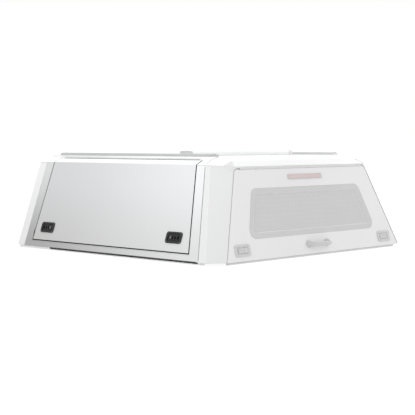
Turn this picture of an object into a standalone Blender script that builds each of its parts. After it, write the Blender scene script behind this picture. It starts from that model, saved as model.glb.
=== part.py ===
"""Pickup truck canopy: folded steel shell, two gullwing side doors and a lifting rear door.

+X is the truck's right, +Y points to the cab and +Z is up. The origin is on the ground plane of
the base seals, at the middle of the shell. Metres throughout.
"""
import math

import bmesh
import bpy
from mathutils import Vector

# Shell, measured on its outer faces. Heights of the walls count from the panels' bottom edge.
BASE_HALF_WIDTH = 0.800
WALL_TOP_SET = 0.174
SHOULDER_HALF_WIDTH = BASE_HALF_WIDTH - WALL_TOP_SET
SHOULDER_HEIGHT = 0.477
REAR_TOP_SET = 0.122
LENGTH = 1.665
SEAL_HEIGHT = 0.015
SEAL_WIDTH = 0.036
SEAL_SET = 0.012
TRIM_SET = 0.002
TRIM_WIDTH = 0.008
TRIM_TALL = 0.009
TRIM_REAR = 0.135
TRIM_FRONT_SET = 0.375

# Corner posts: a 45 degree face between a narrow strip of side wall and the rear or front wall.
REAR_CUT_BASE = 0.075
REAR_CUT_TOP = 0.086
REAR_SEAM_BASE = 0.123
REAR_SEAM_TOP = 0.240
FRONT_CUT = 0.080
FRONT_SEAM = 0.141

# Sheet, frames and doors.
SHEET = 0.003
FRAME_DEPTH = 0.040
DOOR_DEPTH = 0.022
DOOR_SKIN = 0.003
DOOR_RIM = 0.028
DOOR_GAP = 0.007
SIDE_GAP = 0.009
SEAT = 0.0003
JAMB_DEPTH = 0.045
JAMB_LIP = 0.018
HEADER_DROP = 0.001
POST_FOOT = 0.0015
THROUGH = 0.020
ARC_STEPS = 5
EDGE_ROUND = 0.0015
REAR_EDGE_ROUND = 0.0012
SMALL_RADIUS = 0.004

# Roof.
ROOF_SLOPE_RUN = 0.056
ROOF_SLOPE_RISE = 0.023
ROOF_CORNER_RUN = 0.050
ROOF_EDGE_HALF_WIDTH = SHOULDER_HALF_WIDTH - ROOF_SLOPE_RUN
ROOF_EDGE_HEIGHT = SHOULDER_HEIGHT + ROOF_SLOPE_RISE
ROOF_REAR_HALF_WIDTH = ROOF_EDGE_HALF_WIDTH - ROOF_CORNER_RUN
ROOF_REAR_SET = REAR_TOP_SET + 0.038
ROOF_REAR_HEIGHT = SHOULDER_HEIGHT + 0.0155
ROOF_PLATEAU_HEIGHT = ROOF_EDGE_HEIGHT + 0.015
ROOF_PLATEAU_SET = ROOF_REAR_SET + 0.082
ROOF_FRONT_SET = 0.040
FASCIA_DROP = 0.009
FASCIA_BOTTOM = SHOULDER_HEIGHT - FASCIA_DROP
ROOF_LIP = 0.004
ROOF_REAR_CORNER = 0.068
ROOF_FRONT_CORNER = 0.050

# Side doors: their rear and front edges at the bottom, at the shoulder and at the hinge.
SIDE_DOOR_BOTTOM = 0.039
SIDE_DOOR_REAR = (0.204, 0.304, 0.313)
SIDE_DOOR_FRONT = (LENGTH - 0.205, LENGTH - 0.212, LENGTH - 0.216)
HINGE_END = 0.020
HINGE_DROP = 0.003
DOOR_SEAL_WIDTH = 0.012
DOOR_SEAL_THICK = 0.008
DOOR_SEAL_TOP = SHOULDER_HEIGHT - 0.035
OPENING_OVER = 0.030

# Rear door.
REAR_HEADER_TALL = 0.017
REAR_DOOR_TOP = FASCIA_BOTTOM - REAR_HEADER_TALL
REAR_DOOR_RADIUS = 0.024
WINDOW_BOTTOM = 0.1035
WINDOW_TOP = REAR_DOOR_TOP - 0.098
WINDOW_HALF_BOTTOM = BASE_HALF_WIDTH - 0.267
WINDOW_HALF_TOP = SHOULDER_HALF_WIDTH - 0.180
WINDOW_RADIUS = 0.040
WINDOW_BAND = 0.026
WINDOW_PROUD = 0.0015
WINDOW_RIB = 0.020
GLASS_THICKNESS = 0.005
GLASS_SET = 0.003
LAMP_HEIGHT = REAR_DOOR_TOP - 0.044
LAMP_LENGTH = 0.288
LAMP_TALL = 0.026
LAMP_DEEP = 0.004
LAMP_RADIUS = 0.006
LENS_END = 0.006
LENS_EDGE = 0.002
LENS_PROUD = 0.002
HANDLE_HEIGHT = 0.0505
HANDLE_STAND = 0.044
HANDLE_BAR = 0.016
HANDLE_FOOT = 0.003
HANDLE_FEET = 0.078
HANDLE_FOOT_RADIUS = 0.018
HANDLE_FOOT_TOP_RADIUS = 0.015
HANDLE_FOOT_TALL = 0.010
REAR_SEAL_TALL = 0.0145
REAR_SEAL_SET = 0.015
REAR_SEAL_DEEP = 0.018
REAR_SEAL_END = 0.022

# Latches.
LATCH_WIDTH = 0.114
LATCH_TALL = 0.060
LATCH_PROUD = 0.004
LATCH_RECESS_WIDTH = 0.084
LATCH_RECESS_TALL = 0.038
LATCH_RECESS_DEEP = 0.014
LATCH_WALL = 0.004
LATCH_BACK = 0.003
LATCH_RADIUS = 0.012
LATCH_LAP = 0.001
PADDLE_WIDTH = 0.072
PADDLE_TALL = 0.027
PADDLE_THICK = 0.003
PADDLE_TOP = 0.0055
PADDLE_SET = 0.0015
PIN_DOWN = 0.003
PIN_RADIUS = 0.0018
REAR_LATCH_X = BASE_HALF_WIDTH - 0.204
REAR_LATCH_HEIGHT = 0.052
SIDE_LATCH_HEIGHT = 0.109
SIDE_LATCH_REAR = SIDE_DOOR_REAR[0] + 0.127
SIDE_LATCH_FRONT = SIDE_DOOR_FRONT[0] - 0.107

# Roof fittings.
RAIL_X = ROOF_EDGE_HALF_WIDTH - 0.067
RAIL_WIDTH = 0.044
RAIL_TOP_WIDTH = 0.040
RAIL_TALL = 0.014
RAIL_SLOT = 0.012
RAIL_SLOT_DEEP = 0.008
RAIL_REAR = ROOF_PLATEAU_SET + 0.038
RAIL_FRONT = LENGTH - 0.134
RAIL_RAMP = 0.016
RAIL_EDGE = 0.011
RAIL_MARGIN = 0.006
BAR_HALF_LENGTH = RAIL_X - 0.101
BAR_REAR = 0.550
BAR_DEEP = 0.070
BAR_TALL = 0.0265
BAR_CAP = 0.030
BAR_CAP_PROUD = 0.002
BAR_ROUND = 0.014

# Front window.
FRONT_WINDOW_BOTTOM = 0.110
FRONT_WINDOW_TOP = SHOULDER_HEIGHT - 0.117
FRONT_WINDOW_HALF = BASE_HALF_WIDTH - 0.370

WHITE = ("canopy_white", (0.80, 0.81, 0.82), 0.35, 0.0)
WHITE_DOOR = ("door_white", (0.77, 0.78, 0.79), 0.35, 0.0)
BLACK = ("black_plastic", (0.03, 0.03, 0.03), 0.45, 0.0)
BLACK_METAL = ("black_metal", (0.03, 0.03, 0.03), 0.40, 0.0)
RUBBER = ("black_rubber", (0.02, 0.02, 0.02), 0.80, 0.0)
GLASS = ("tinted_glass", (0.05, 0.05, 0.06), 0.08, 0.0)
RED = ("lamp_red", (0.45, 0.03, 0.03), 0.15, 0.0)

LEFT = -1
RIGHT = 1
SIDES = ((LEFT, "left"), (RIGHT, "right"))


def clear_scene():
    for item in list(bpy.data.objects):
        bpy.data.objects.remove(item, do_unlink=True)


def collection(name):
    made = bpy.data.collections.new(name)
    bpy.context.scene.collection.children.link(made)
    return made


def material(spec):
    name, colour, roughness, metallic = spec
    found = bpy.data.materials.get(name)
    if found:
        return found
    made = bpy.data.materials.new(name)
    made.use_nodes = True
    shader = made.node_tree.nodes["Principled BSDF"]
    shader.inputs["Base Color"].default_value = (*colour, 1.0)
    shader.inputs["Roughness"].default_value = roughness
    shader.inputs["Metallic"].default_value = metallic
    made.diffuse_color = (*colour, 1.0)
    return made


def half_width(height):
    """The side wall's distance from the middle at a height above the panels' bottom edge."""
    share = height / SHOULDER_HEIGHT
    return BASE_HALF_WIDTH + (SHOULDER_HALF_WIDTH - BASE_HALF_WIDTH) * share


def rear_face(height):
    """How far the rear wall has leant forward at a height."""
    return REAR_TOP_SET * height / SHOULDER_HEIGHT


def rear_cut(height):
    return REAR_CUT_BASE + (REAR_CUT_TOP - REAR_CUT_BASE) * height / SHOULDER_HEIGHT


def rear_seam(height):
    return REAR_SEAM_BASE + (REAR_SEAM_TOP - REAR_SEAM_BASE) * height / SHOULDER_HEIGHT


def rear_opening(height):
    """Half the width between the rear corner posts."""
    return half_width(height) - rear_cut(height)


def under_lip(height, run):
    """The highest level under the roof's folded lip, whose lower edge leans in with the wall."""
    return height - ROOF_LIP - SHEET * run / math.hypot(run, SHOULDER_HEIGHT) - SEAT


def under_side_lip():
    return under_lip(SHOULDER_HEIGHT, BASE_HALF_WIDTH - SHOULDER_HALF_WIDTH)


def under_rear_lip():
    return under_lip(FASCIA_BOTTOM, REAR_TOP_SET)


def handle_line():
    """How far behind the rear base line the handle's bar runs."""
    return rear_face(HANDLE_HEIGHT) - SEAT - HANDLE_FOOT - (HANDLE_STAND - HANDLE_BAR)


def middle_length():
    """The middle of the whole part, from the handle's back to the front window's rubber."""
    return (LENGTH + WINDOW_PROUD + handle_line() - HANDLE_BAR / 2) / 2


def place(x, along, height):
    """A point in the part's frame, from its distance past the rear base line and its height."""
    return Vector((x, along - middle_length(), height + SEAL_HEIGHT))


def finish(mesh, name, group, look, side=None, closed=True):
    if side is not None:
        for vertex in mesh.verts:
            vertex.co.x *= side
    mesh.normal_update()
    if closed:
        bmesh.ops.recalc_face_normals(mesh, faces=mesh.faces)
    data = bpy.data.meshes.new(name)
    mesh.to_mesh(data)
    mesh.free()
    item = bpy.data.objects.new(name, data)
    group.objects.link(item)
    if look:
        data.materials.append(material(look))
    return item


def loft(name, rings, group, look, side=None):
    """A closed solid through rings of points, with the first and last ring filled."""
    mesh = bmesh.new()
    rows = [[mesh.verts.new(point) for point in ring] for ring in rings]
    count = len(rows[0])
    for low, high in zip(rows, rows[1:]):
        for i in range(count):
            j = (i + 1) % count
            mesh.faces.new((low[i], low[j], high[j], high[i]))
    mesh.faces.new(rows[0])
    mesh.faces.new(rows[-1])
    return finish(mesh, name, group, look, side)


def sheet(name, rows, group, look, side, flip):
    """A bent sheet: a grid of outer points, thickened to the inside."""
    mesh = bmesh.new()
    grid = [[mesh.verts.new(point) for point in row] for row in rows]
    for low, high in zip(grid, grid[1:]):
        for i in range(len(low) - 1):
            mesh.faces.new((low[i], low[i + 1], high[i + 1], high[i]))
    if flip:
        bmesh.ops.reverse_faces(mesh, faces=mesh.faces)
    item = finish(mesh, name, group, look, side, closed=False)
    thicken(item, SHEET)
    return item


def thicken(item, thickness):
    solid = item.modifiers.new("thickness", "SOLIDIFY")
    solid.thickness = thickness
    solid.offset = -1.0
    solid.use_even_offset = True
    solid.use_quality_normals = True


def cut(item, cutter):
    cutter.hide_render = True
    cutter.display_type = "WIRE"
    subtract = item.modifiers.new("cut_" + cutter.name, "BOOLEAN")
    subtract.operation = "DIFFERENCE"
    subtract.object = cutter
    subtract.solver = "EXACT"


def soften(item, width, segments=2, angle=30.0):
    bevel = item.modifiers.new("edge", "BEVEL")
    bevel.width = width
    bevel.segments = segments
    bevel.limit_method = "ANGLE"
    bevel.angle_limit = math.radians(angle)


def move_origin(item, point):
    """Put an object's origin on a joint's axis, with its mesh left where it is."""
    for vertex in item.data.vertices:
        vertex.co -= point
    item.location = point


def rounded(corners, steps=5):
    """An outline of (x, z) corners, each given as (x, z, radius), with arcs for its corners."""
    outline = []
    count = len(corners)
    for i, (x, z, radius) in enumerate(corners):
        here = Vector((x, z))
        before = (Vector(corners[i - 1][:2]) - here).normalized()
        after = (Vector(corners[(i + 1) % count][:2]) - here).normalized()
        if radius <= 0:
            outline.append((x, z))
            continue
        angle = before.angle(after)
        reach = radius / math.tan(angle / 2)
        middle = here + (before + after).normalized() * radius / math.sin(angle / 2)
        start = here + before * reach - middle
        end = here + after * reach - middle
        turn = start.angle_signed(end)
        for step in range(steps + 1):
            share = turn * step / steps
            spun = Vector((start.x * math.cos(share) + start.y * math.sin(share),
                           start.y * math.cos(share) - start.x * math.sin(share)))
            outline.append(tuple(middle + spun))
    return outline


def shrink(corners, width):
    """Corners of a trapezoid or rectangle moved inward by a width, with their arcs kept parallel."""
    count = len(corners)
    moved = []
    for i, (x, z, radius) in enumerate(corners):
        here = Vector((x, z))
        before = (Vector(corners[i - 1][:2]) - here).normalized()
        after = (Vector(corners[(i + 1) % count][:2]) - here).normalized()
        angle = before.angle(after)
        point = here + (before + after).normalized() * width / math.sin(angle / 2)
        moved.append((point.x, point.y, max(radius - width, 0.0)))
    return moved


def plate(name, corners, face, near, far, group, look):
    """A flat plate with a rounded outline, from one depth to another behind a wall's face."""
    outline = rounded(corners)
    rings = [[place(x, face(z) + depth, z) for x, z in outline] for depth in (near, far)]
    return loft(name, rings, group, look)


def front_face(height):
    return LENGTH


# Corner posts

def rear_post(parts, side, word):
    def row(heights):
        seam, strip, middle, jamb = heights
        width = half_width(seam)
        inner = rear_opening(jamb)
        centre_x = (half_width(middle) + rear_opening(middle)) / 2
        centre_y = rear_face(middle) + rear_cut(middle) / 2
        return [
            place(width - FRAME_DEPTH, rear_seam(seam), seam),
            place(width, rear_seam(seam), seam),
            place(half_width(strip), rear_face(strip) + rear_cut(strip), strip),
            place(centre_x, centre_y, middle),
            place(inner, rear_face(jamb), jamb),
            place(inner, rear_face(jamb) + JAMB_DEPTH, jamb),
            place(inner + JAMB_LIP, rear_face(jamb) + JAMB_DEPTH, jamb),
        ]
    top = under_side_lip()
    end = under_rear_lip()
    rows = [row((0.0, 0.0, 0.0, 0.0)), row((top, top, (top + end) / 2, end))]
    return sheet("rear_corner_post_" + word, rows, parts, WHITE, side, flip=side == RIGHT)


def front_post(parts, side, word):
    def row(heights):
        seam, strip, middle, wall = heights
        width = half_width(seam)
        inner = half_width(wall) - FRONT_CUT
        return [
            place(width - FRAME_DEPTH, LENGTH - FRONT_SEAM, seam),
            place(width, LENGTH - FRONT_SEAM, seam),
            place(half_width(strip), LENGTH - FRONT_CUT, strip),
            place(half_width(middle) - FRONT_CUT / 2, LENGTH - FRONT_CUT / 2, middle),
            place(inner, LENGTH, wall),
            place(inner, LENGTH - JAMB_DEPTH, wall),
        ]
    top = under_side_lip()
    end = under_rear_lip()
    rows = [row((POST_FOOT,) * 4), row((top, top, (top + end) / 2, end))]
    return sheet("front_corner_post_" + word, rows, parts, WHITE, side, flip=side == LEFT)


# Side frames

def sill_top():
    return SIDE_DOOR_BOTTOM - SIDE_GAP


def door_edge(ends, height):
    """Where a side door's edge lies at a height on the side wall."""
    share = (height - SIDE_DOOR_BOTTOM) / (SHOULDER_HEIGHT - SIDE_DOOR_BOTTOM)
    return ends[0] + (ends[1] - ends[0]) * share


def side_frame(parts, cutters, side, word):
    """The sill and the two stiles round the door opening, as one U-shaped pan open to the inside."""
    def outline(inset):
        low = sill_top() - inset
        foot = inset
        head = under_side_lip() - inset

        def stile_rear(height):
            return (rear_seam(height) + SEAT + inset, height)

        def stile_front(height):
            return (LENGTH - FRONT_SEAM - SEAT - inset, height)

        def opening_rear(height):
            return (door_edge(SIDE_DOOR_REAR, height) - SIDE_GAP - inset, height)

        def opening_front(height):
            return (door_edge(SIDE_DOOR_FRONT, height) + SIDE_GAP + inset, height)

        return [
            stile_rear(foot), stile_front(foot), stile_front(head), opening_front(head),
            opening_front(low), opening_rear(low), opening_rear(head), stile_rear(head),
        ]

    def rings(inset, depths):
        return [[place(half_width(z) - depth, y, z) for y, z in outline(inset)] for depth in depths]

    frame = loft("side_frame_" + word, rings(0.0, (0.0, FRAME_DEPTH)), parts, WHITE_DOOR, side)
    hollow = rings(SHEET, (SHEET, FRAME_DEPTH + THROUGH))
    cut(frame, loft("side_frame_pan_" + word, hollow, cutters, None, side))
    return frame


def side_door_seal(parts, side, word):
    """A rubber strip on three sides of the door opening, behind the closed door."""
    width = DOOR_SEAL_WIDTH
    near = DOOR_DEPTH + DOOR_GAP
    far = near + DOOR_SEAL_THICK
    top = DOOR_SEAL_TOP
    low = sill_top() + SEAT

    def rear(height, extra=0.0):
        return door_edge(SIDE_DOOR_REAR, height) - SIDE_GAP + SEAT + extra

    def front(height, extra=0.0):
        return door_edge(SIDE_DOOR_FRONT, height) + SIDE_GAP - SEAT - extra

    outline = [
        (rear(top), top), (rear(low), low), (front(low), low), (front(top), top),
        (front(top, width), top), (front(low + width, width), low + width),
        (rear(low + width, width), low + width), (rear(top, width), top),
    ]
    rings = [[place(half_width(z) - depth, y, z) for y, z in outline] for depth in (near, far)]
    return loft("side_door_seal_" + word, rings, parts, RUBBER, side)


# Side doors

def hinge_x():
    return ROOF_EDGE_HALF_WIDTH + DOOR_GAP / 2


def hinge_height():
    """The side doors' hinge line lies just under the roof's slope."""
    return slope_height(hinge_x()) - HINGE_DROP


def hinge_radius():
    """A barrel that fills its gap but for the clearance on each side."""
    return DOOR_GAP / 2 - SEAT


def add_barrel(mesh, radius, length, spot, segments=12):
    """A round bar whose points are put in place by a function of (across, across, along)."""
    made = bmesh.ops.create_cone(mesh, cap_ends=True, segments=segments, radius1=radius,
                                 radius2=radius, depth=length)
    for vertex in made["verts"]:
        vertex.co = spot(*vertex.co)


def slope_height(x):
    """Height of the roof's side slope at a distance from the middle."""
    share = (SHOULDER_HALF_WIDTH - x) / (SHOULDER_HALF_WIDTH - ROOF_EDGE_HALF_WIDTH)
    return SHOULDER_HEIGHT + (ROOF_EDGE_HEIGHT - SHOULDER_HEIGHT) * share


def side_profile(outer, inner, bottom, top_x, overlap=0.0):
    """The bent door's section between two depths, as (x, z) points from bottom to hinge and back."""
    slope = math.atan2(ROOF_EDGE_HEIGHT - SHOULDER_HEIGHT, SHOULDER_HALF_WIDTH - ROOF_EDGE_HALF_WIDTH)
    lean = math.atan2(BASE_HALF_WIDTH - SHOULDER_HALF_WIDTH, SHOULDER_HEIGHT)

    def bend(depth):
        wall = Vector((math.cos(lean), math.sin(lean)))
        roof = Vector((math.sin(slope), math.cos(slope)))
        corner = Vector((SHOULDER_HALF_WIDTH, SHOULDER_HEIGHT))
        spread = wall.angle(roof)
        inward = -(wall + roof).normalized() * depth / math.cos(spread / 2)
        return corner + inward

    def low(depth):
        return (half_width(bottom) - depth / math.cos(lean), bottom)

    def high(depth):
        return (top_x, slope_height(top_x) - depth / math.cos(slope))

    return [low(outer), tuple(bend(outer)), high(outer), high(inner), tuple(bend(inner)), low(inner)]


def door_rings(profile, inset):
    """The profile at the door's rear and front edges, moved in by an inset."""
    rings = []
    for ends, direction in ((SIDE_DOOR_REAR, 1), (SIDE_DOOR_FRONT, -1)):
        ring = []
        for i, (x, z) in enumerate(profile):
            if i in (2, 3):
                along = ends[2]
            elif i in (1, 4):
                along = ends[1]
            else:
                along = door_edge(ends, z)
            ring.append(place(x, along + direction * inset, z))
        rings.append(ring)
    return rings


def side_door(parts, cutters, side, word):
    top_x = ROOF_EDGE_HALF_WIDTH + DOOR_GAP
    solid = side_profile(0.0, DOOR_DEPTH, SIDE_DOOR_BOTTOM, top_x)
    door = loft("side_door_" + word, door_rings(solid, 0.0), parts, WHITE_DOOR, side)
    pan = side_profile(DOOR_SKIN, DOOR_DEPTH + SMALL_RADIUS, SIDE_DOOR_BOTTOM + DOOR_RIM, top_x + DOOR_SEAL_WIDTH)
    hollow = loft("side_door_pan_" + word, door_rings(pan, DOOR_RIM), cutters, None, side)
    soften(door, EDGE_ROUND, 2)
    cut(door, hollow)
    middle = (SIDE_DOOR_REAR[2] + SIDE_DOOR_FRONT[2]) / 2
    move_origin(door, place(side * hinge_x(), middle, hinge_height()))
    return door


def side_opening_cutter(cutters, side, word):
    """What the door and its gap take out of the roof's edge."""
    beyond = SHOULDER_HALF_WIDTH + OPENING_OVER
    low = SHOULDER_HEIGHT - OPENING_OVER
    high = ROOF_EDGE_HEIGHT + OPENING_OVER
    share = OPENING_OVER / (SHOULDER_HALF_WIDTH - ROOF_EDGE_HALF_WIDTH)
    section = ((beyond, low), (beyond, high), (ROOF_EDGE_HALF_WIDTH, high), (ROOF_EDGE_HALF_WIDTH, low))
    rings = []
    for ends, gap in ((SIDE_DOOR_REAR, -SIDE_GAP), (SIDE_DOOR_FRONT, SIDE_GAP)):
        outer = ends[1] - (ends[2] - ends[1]) * share
        rings.append([place(x, (outer if x == beyond else ends[2]) + gap, z) for x, z in section])
    return loft("side_opening_" + word, rings, cutters, None, side)


def side_hinge(parts, side, word):
    """The long hinge barrel in the gap between the roof and the door's top edge."""
    length = SIDE_DOOR_FRONT[2] - SIDE_DOOR_REAR[2] - 2 * HINGE_END
    middle = (SIDE_DOOR_FRONT[2] + SIDE_DOOR_REAR[2]) / 2
    mesh = bmesh.new()
    add_barrel(mesh, hinge_radius(), length,
               lambda x, y, z: place(hinge_x() + x, middle + z, hinge_height() - y))
    return finish(mesh, "side_door_hinge_" + word, parts, BLACK_METAL, side)


# Roof

def roof_rows():
    """The roof's outer points, in rows from the middle line out to the folded lip."""
    top = SHOULDER_HEIGHT
    fascia = FASCIA_BOTTOM
    middle = (top + fascia) / 2
    front = LENGTH

    def rear_mid(height):
        return ((half_width(height) + rear_opening(height)) / 2, rear_face(height) + rear_cut(height) / 2)

    rear_wall = (rear_opening(fascia), rear_face(fascia), fascia)
    rear_mid_point = (*rear_mid(middle), middle)
    rear_side = (half_width(top), rear_face(top) + rear_cut(top), top)
    front_side = (half_width(top), front - FRONT_CUT, top)
    front_mid_point = (half_width(middle) - FRONT_CUT / 2, front - FRONT_CUT / 2, middle)
    front_wall = (half_width(fascia) - FRONT_CUT, front, fascia)
    chamfer = [rear_wall, rear_mid_point, rear_side, front_side, front_mid_point, front_wall]

    def lowered(point, drop):
        x, y, z = point
        height = z - drop
        if point is rear_wall:
            return (rear_opening(height), rear_face(height), height)
        if point is rear_mid_point:
            return (*rear_mid(height), height)
        if point is rear_side:
            return (half_width(height), rear_face(height) + rear_cut(height), height)
        if point is front_side:
            return (half_width(height), y, height)
        if point is front_mid_point:
            return (half_width(height) - FRONT_CUT / 2, y, height)
        return (half_width(height) - FRONT_CUT, y, height)

    lip = [lowered(point, ROOF_LIP) for point in chamfer]
    corner_y = ROOF_REAR_SET + ROOF_REAR_CORNER
    edge = [
        (ROOF_REAR_HALF_WIDTH, ROOF_REAR_SET, ROOF_REAR_HEIGHT),
        (ROOF_REAR_HALF_WIDTH, ROOF_REAR_SET, ROOF_REAR_HEIGHT),
        (ROOF_EDGE_HALF_WIDTH, corner_y, ROOF_EDGE_HEIGHT),
        (ROOF_EDGE_HALF_WIDTH, front - ROOF_FRONT_SET - ROOF_FRONT_CORNER, ROOF_EDGE_HEIGHT),
        (ROOF_REAR_HALF_WIDTH, front - ROOF_FRONT_SET, ROOF_REAR_HEIGHT),
        (ROOF_REAR_HALF_WIDTH, front - ROOF_FRONT_SET, ROOF_REAR_HEIGHT),
    ]
    return lip, chamfer, edge


def roof_panel(parts, cutters_left_right):
    lip, chamfer, edge = roof_rows()
    mesh = bmesh.new()
    made = {}

    def corner(x, y, z):
        point = place(x, y, z)
        key = tuple(round(value, 6) for value in point)
        if key not in made:
            made[key] = mesh.verts.new(point)
        return made[key]

    def face(*points):
        verts = []
        for point in points:
            vertex = corner(*point)
            if vertex not in verts:
                verts.append(vertex)
        mesh.faces.new(verts)

    plateau_half = RAIL_X + RAIL_WIDTH / 2 + RAIL_MARGIN
    rear_y = ROOF_PLATEAU_SET
    front_y = LENGTH - ROOF_FRONT_SET - ROOF_FRONT_CORNER
    inner_half = RAIL_X - RAIL_WIDTH / 2 - RAIL_MARGIN
    across = (-plateau_half, -inner_half, inner_half, plateau_half)

    def mirror(point, side):
        return (point[0] * side, point[1], point[2])

    for side in (LEFT, RIGHT):
        for outer, inner in ((lip, chamfer), (chamfer, edge)):
            for i in range(len(outer) - 1):
                face(mirror(outer[i], side), mirror(outer[i + 1], side),
                     mirror(inner[i + 1], side), mirror(inner[i], side))
        high_rear = (side * plateau_half, rear_y, ROOF_PLATEAU_HEIGHT)
        high_front = (side * plateau_half, front_y, ROOF_PLATEAU_HEIGHT)
        face(mirror(edge[2], side), mirror(edge[3], side), high_front, high_rear)
        face(mirror(edge[1], side), mirror(edge[2], side), high_rear)
        face(mirror(edge[4], side), mirror(edge[3], side), high_front)
    for outer, inner in ((lip, chamfer), (chamfer, edge)):
        for i in (0, -1):
            face(mirror(outer[i], LEFT), mirror(outer[i], RIGHT),
                 mirror(inner[i], RIGHT), mirror(inner[i], LEFT))
    for i, y in ((0, rear_y), (-1, front_y)):
        face(mirror(edge[i], LEFT), mirror(edge[i], RIGHT), (plateau_half, y, ROOF_PLATEAU_HEIGHT),
             (inner_half, y, ROOF_PLATEAU_HEIGHT), (-inner_half, y, ROOF_PLATEAU_HEIGHT),
             (-plateau_half, y, ROOF_PLATEAU_HEIGHT))
    for low, high in zip(across, across[1:]):
        face((low, rear_y, ROOF_PLATEAU_HEIGHT), (high, rear_y, ROOF_PLATEAU_HEIGHT),
             (high, front_y, ROOF_PLATEAU_HEIGHT), (low, front_y, ROOF_PLATEAU_HEIGHT))
    roof = finish(mesh, "roof_panel", parts, WHITE)
    thicken(roof, SHEET)
    for cutter in cutters_left_right:
        cut(roof, cutter)
    return roof


def roof_rail(parts, side, word):
    """A slotted track whose ends slope down to the roof."""
    base = ROOF_PLATEAU_HEIGHT + SEAT
    top = base + RAIL_TALL
    half = RAIL_WIDTH / 2
    shoulder = RAIL_TOP_WIDTH / 2
    slot = RAIL_SLOT / 2
    floor = top - RAIL_SLOT_DEEP
    profile = [
        (-half, base), (half, base), (half, base + RAIL_EDGE), (shoulder, top), (slot, top),
        (slot, floor), (-slot, floor), (-slot, top), (-shoulder, top), (-half, base + RAIL_EDGE),
    ]
    rings = []
    for end, direction in ((RAIL_REAR, 1), (RAIL_FRONT, -1)):
        ring = []
        for x, z in profile:
            ramp = direction * RAIL_RAMP * (z - base) / RAIL_TALL
            ring.append(place(RAIL_X + x, end + ramp, z))
        rings.append(ring)
    return loft("roof_rail_" + word, rings, parts, BLACK_METAL, side)


def roof_bar(parts):
    """The low cross bar with rounded edges, between the rails."""
    base = ROOF_PLATEAU_HEIGHT + SEAT

    def section(proud):
        low, high = base, base + BAR_TALL + proud
        rear, front = BAR_REAR - proud, BAR_REAR + BAR_DEEP + proud
        round_off = BAR_ROUND
        steps = ARC_STEPS
        points = [(rear, low)]
        for i in range(steps + 1):
            turn = math.pi / 2 * i / steps
            points.append((rear + round_off * (1 - math.cos(turn)), high - round_off * (1 - math.sin(turn))))
        for i in range(steps + 1):
            turn = math.pi / 2 * i / steps
            points.append((front - round_off * (1 - math.sin(turn)), high - round_off * (1 - math.cos(turn))))
        points.append((front, low))
        return points

    def slab(start, end, proud):
        return [[place(x, y, z) for y, z in section(proud)] for x in (start, end)]

    loft("roof_cross_bar", slab(-BAR_HALF_LENGTH, BAR_HALF_LENGTH, 0.0), parts, WHITE)
    inner = BAR_HALF_LENGTH + SEAT
    outer = BAR_HALF_LENGTH + BAR_CAP
    for side, word in SIDES:
        loft("roof_bar_cap_" + word, slab(side * inner, side * outer, BAR_CAP_PROUD), parts, BLACK)


# Rear door

def rear_door_corners(inset=0.0):
    def edge(height):
        return rear_opening(height) - DOOR_GAP
    bottom, top = 0.0, REAR_DOOR_TOP
    corners = [
        (-edge(bottom), bottom, SMALL_RADIUS), (edge(bottom), bottom, SMALL_RADIUS),
        (edge(top), top, REAR_DOOR_RADIUS), (-edge(top), top, REAR_DOOR_RADIUS),
    ]
    return shrink(corners, inset) if inset else corners


def window_corners():
    return [
        (-WINDOW_HALF_BOTTOM, WINDOW_BOTTOM, WINDOW_RADIUS),
        (WINDOW_HALF_BOTTOM, WINDOW_BOTTOM, WINDOW_RADIUS),
        (WINDOW_HALF_TOP, WINDOW_TOP, WINDOW_RADIUS),
        (-WINDOW_HALF_TOP, WINDOW_TOP, WINDOW_RADIUS),
    ]


def grow(corners, width):
    return shrink(corners, -width)


def window_set(parts, cutters, wall, corners, face, out, depth, prefix):
    """A window cut through a wall, with its rubber surround and its glass.

    out is -1 where the outside lies towards the rear and 1 where it lies towards the front.
    """
    hole = plate(prefix + "_hole", grow(corners, SEAT), face, out * THROUGH, -out * (depth + THROUGH), cutters, None)
    cut(wall, hole)
    ring = plate(prefix + "_seal", corners, face, out * WINDOW_PROUD, -out * depth, parts, RUBBER)
    clear = shrink(corners, WINDOW_BAND)
    inside = plate(prefix + "_clear", clear, face, out * THROUGH, -out * (depth + THROUGH), cutters, None)
    cut(ring, inside)
    pane = shrink(corners, WINDOW_BAND + SEAT)
    near = -out * GLASS_SET
    far = -out * (GLASS_SET + GLASS_THICKNESS)
    glass = plate(prefix + "_glass", pane, face, near, far, parts, GLASS)
    return ring, glass


def rear_door(parts, cutters):
    door = plate("rear_door", rear_door_corners(), rear_face, 0.0, DOOR_DEPTH, parts, WHITE)
    soften(door, REAR_EDGE_ROUND, 1)
    back = DOOR_DEPTH + THROUGH
    inner = rear_door_corners(DOOR_RIM)
    pan = plate("rear_door_pan", inner, rear_face, DOOR_SKIN, back, cutters, None)
    rib = plate("rear_door_window_rib", grow(window_corners(), WINDOW_RIB), rear_face, 0.0, back + THROUGH, cutters, None)
    cut(pan, rib)
    cut(door, pan)
    ring, glass = window_set(parts, cutters, door, window_corners(), rear_face, -1, DOOR_DEPTH, "rear_window")
    return door, ring, glass


def rear_hinge_point():
    height = REAR_DOOR_TOP + DOOR_GAP / 2
    return place(0.0, rear_face(height), height)


def rear_door_hinge(parts):
    """The hinge barrel along the rear door's top edge."""
    height = REAR_DOOR_TOP + DOOR_GAP / 2
    length = 2 * (rear_opening(height) - REAR_DOOR_RADIUS - HINGE_END)
    mesh = bmesh.new()
    add_barrel(mesh, hinge_radius(), length, lambda x, y, z: place(z, rear_face(height) + x, height + y))
    return finish(mesh, "rear_door_hinge", parts, BLACK_METAL)


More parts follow.
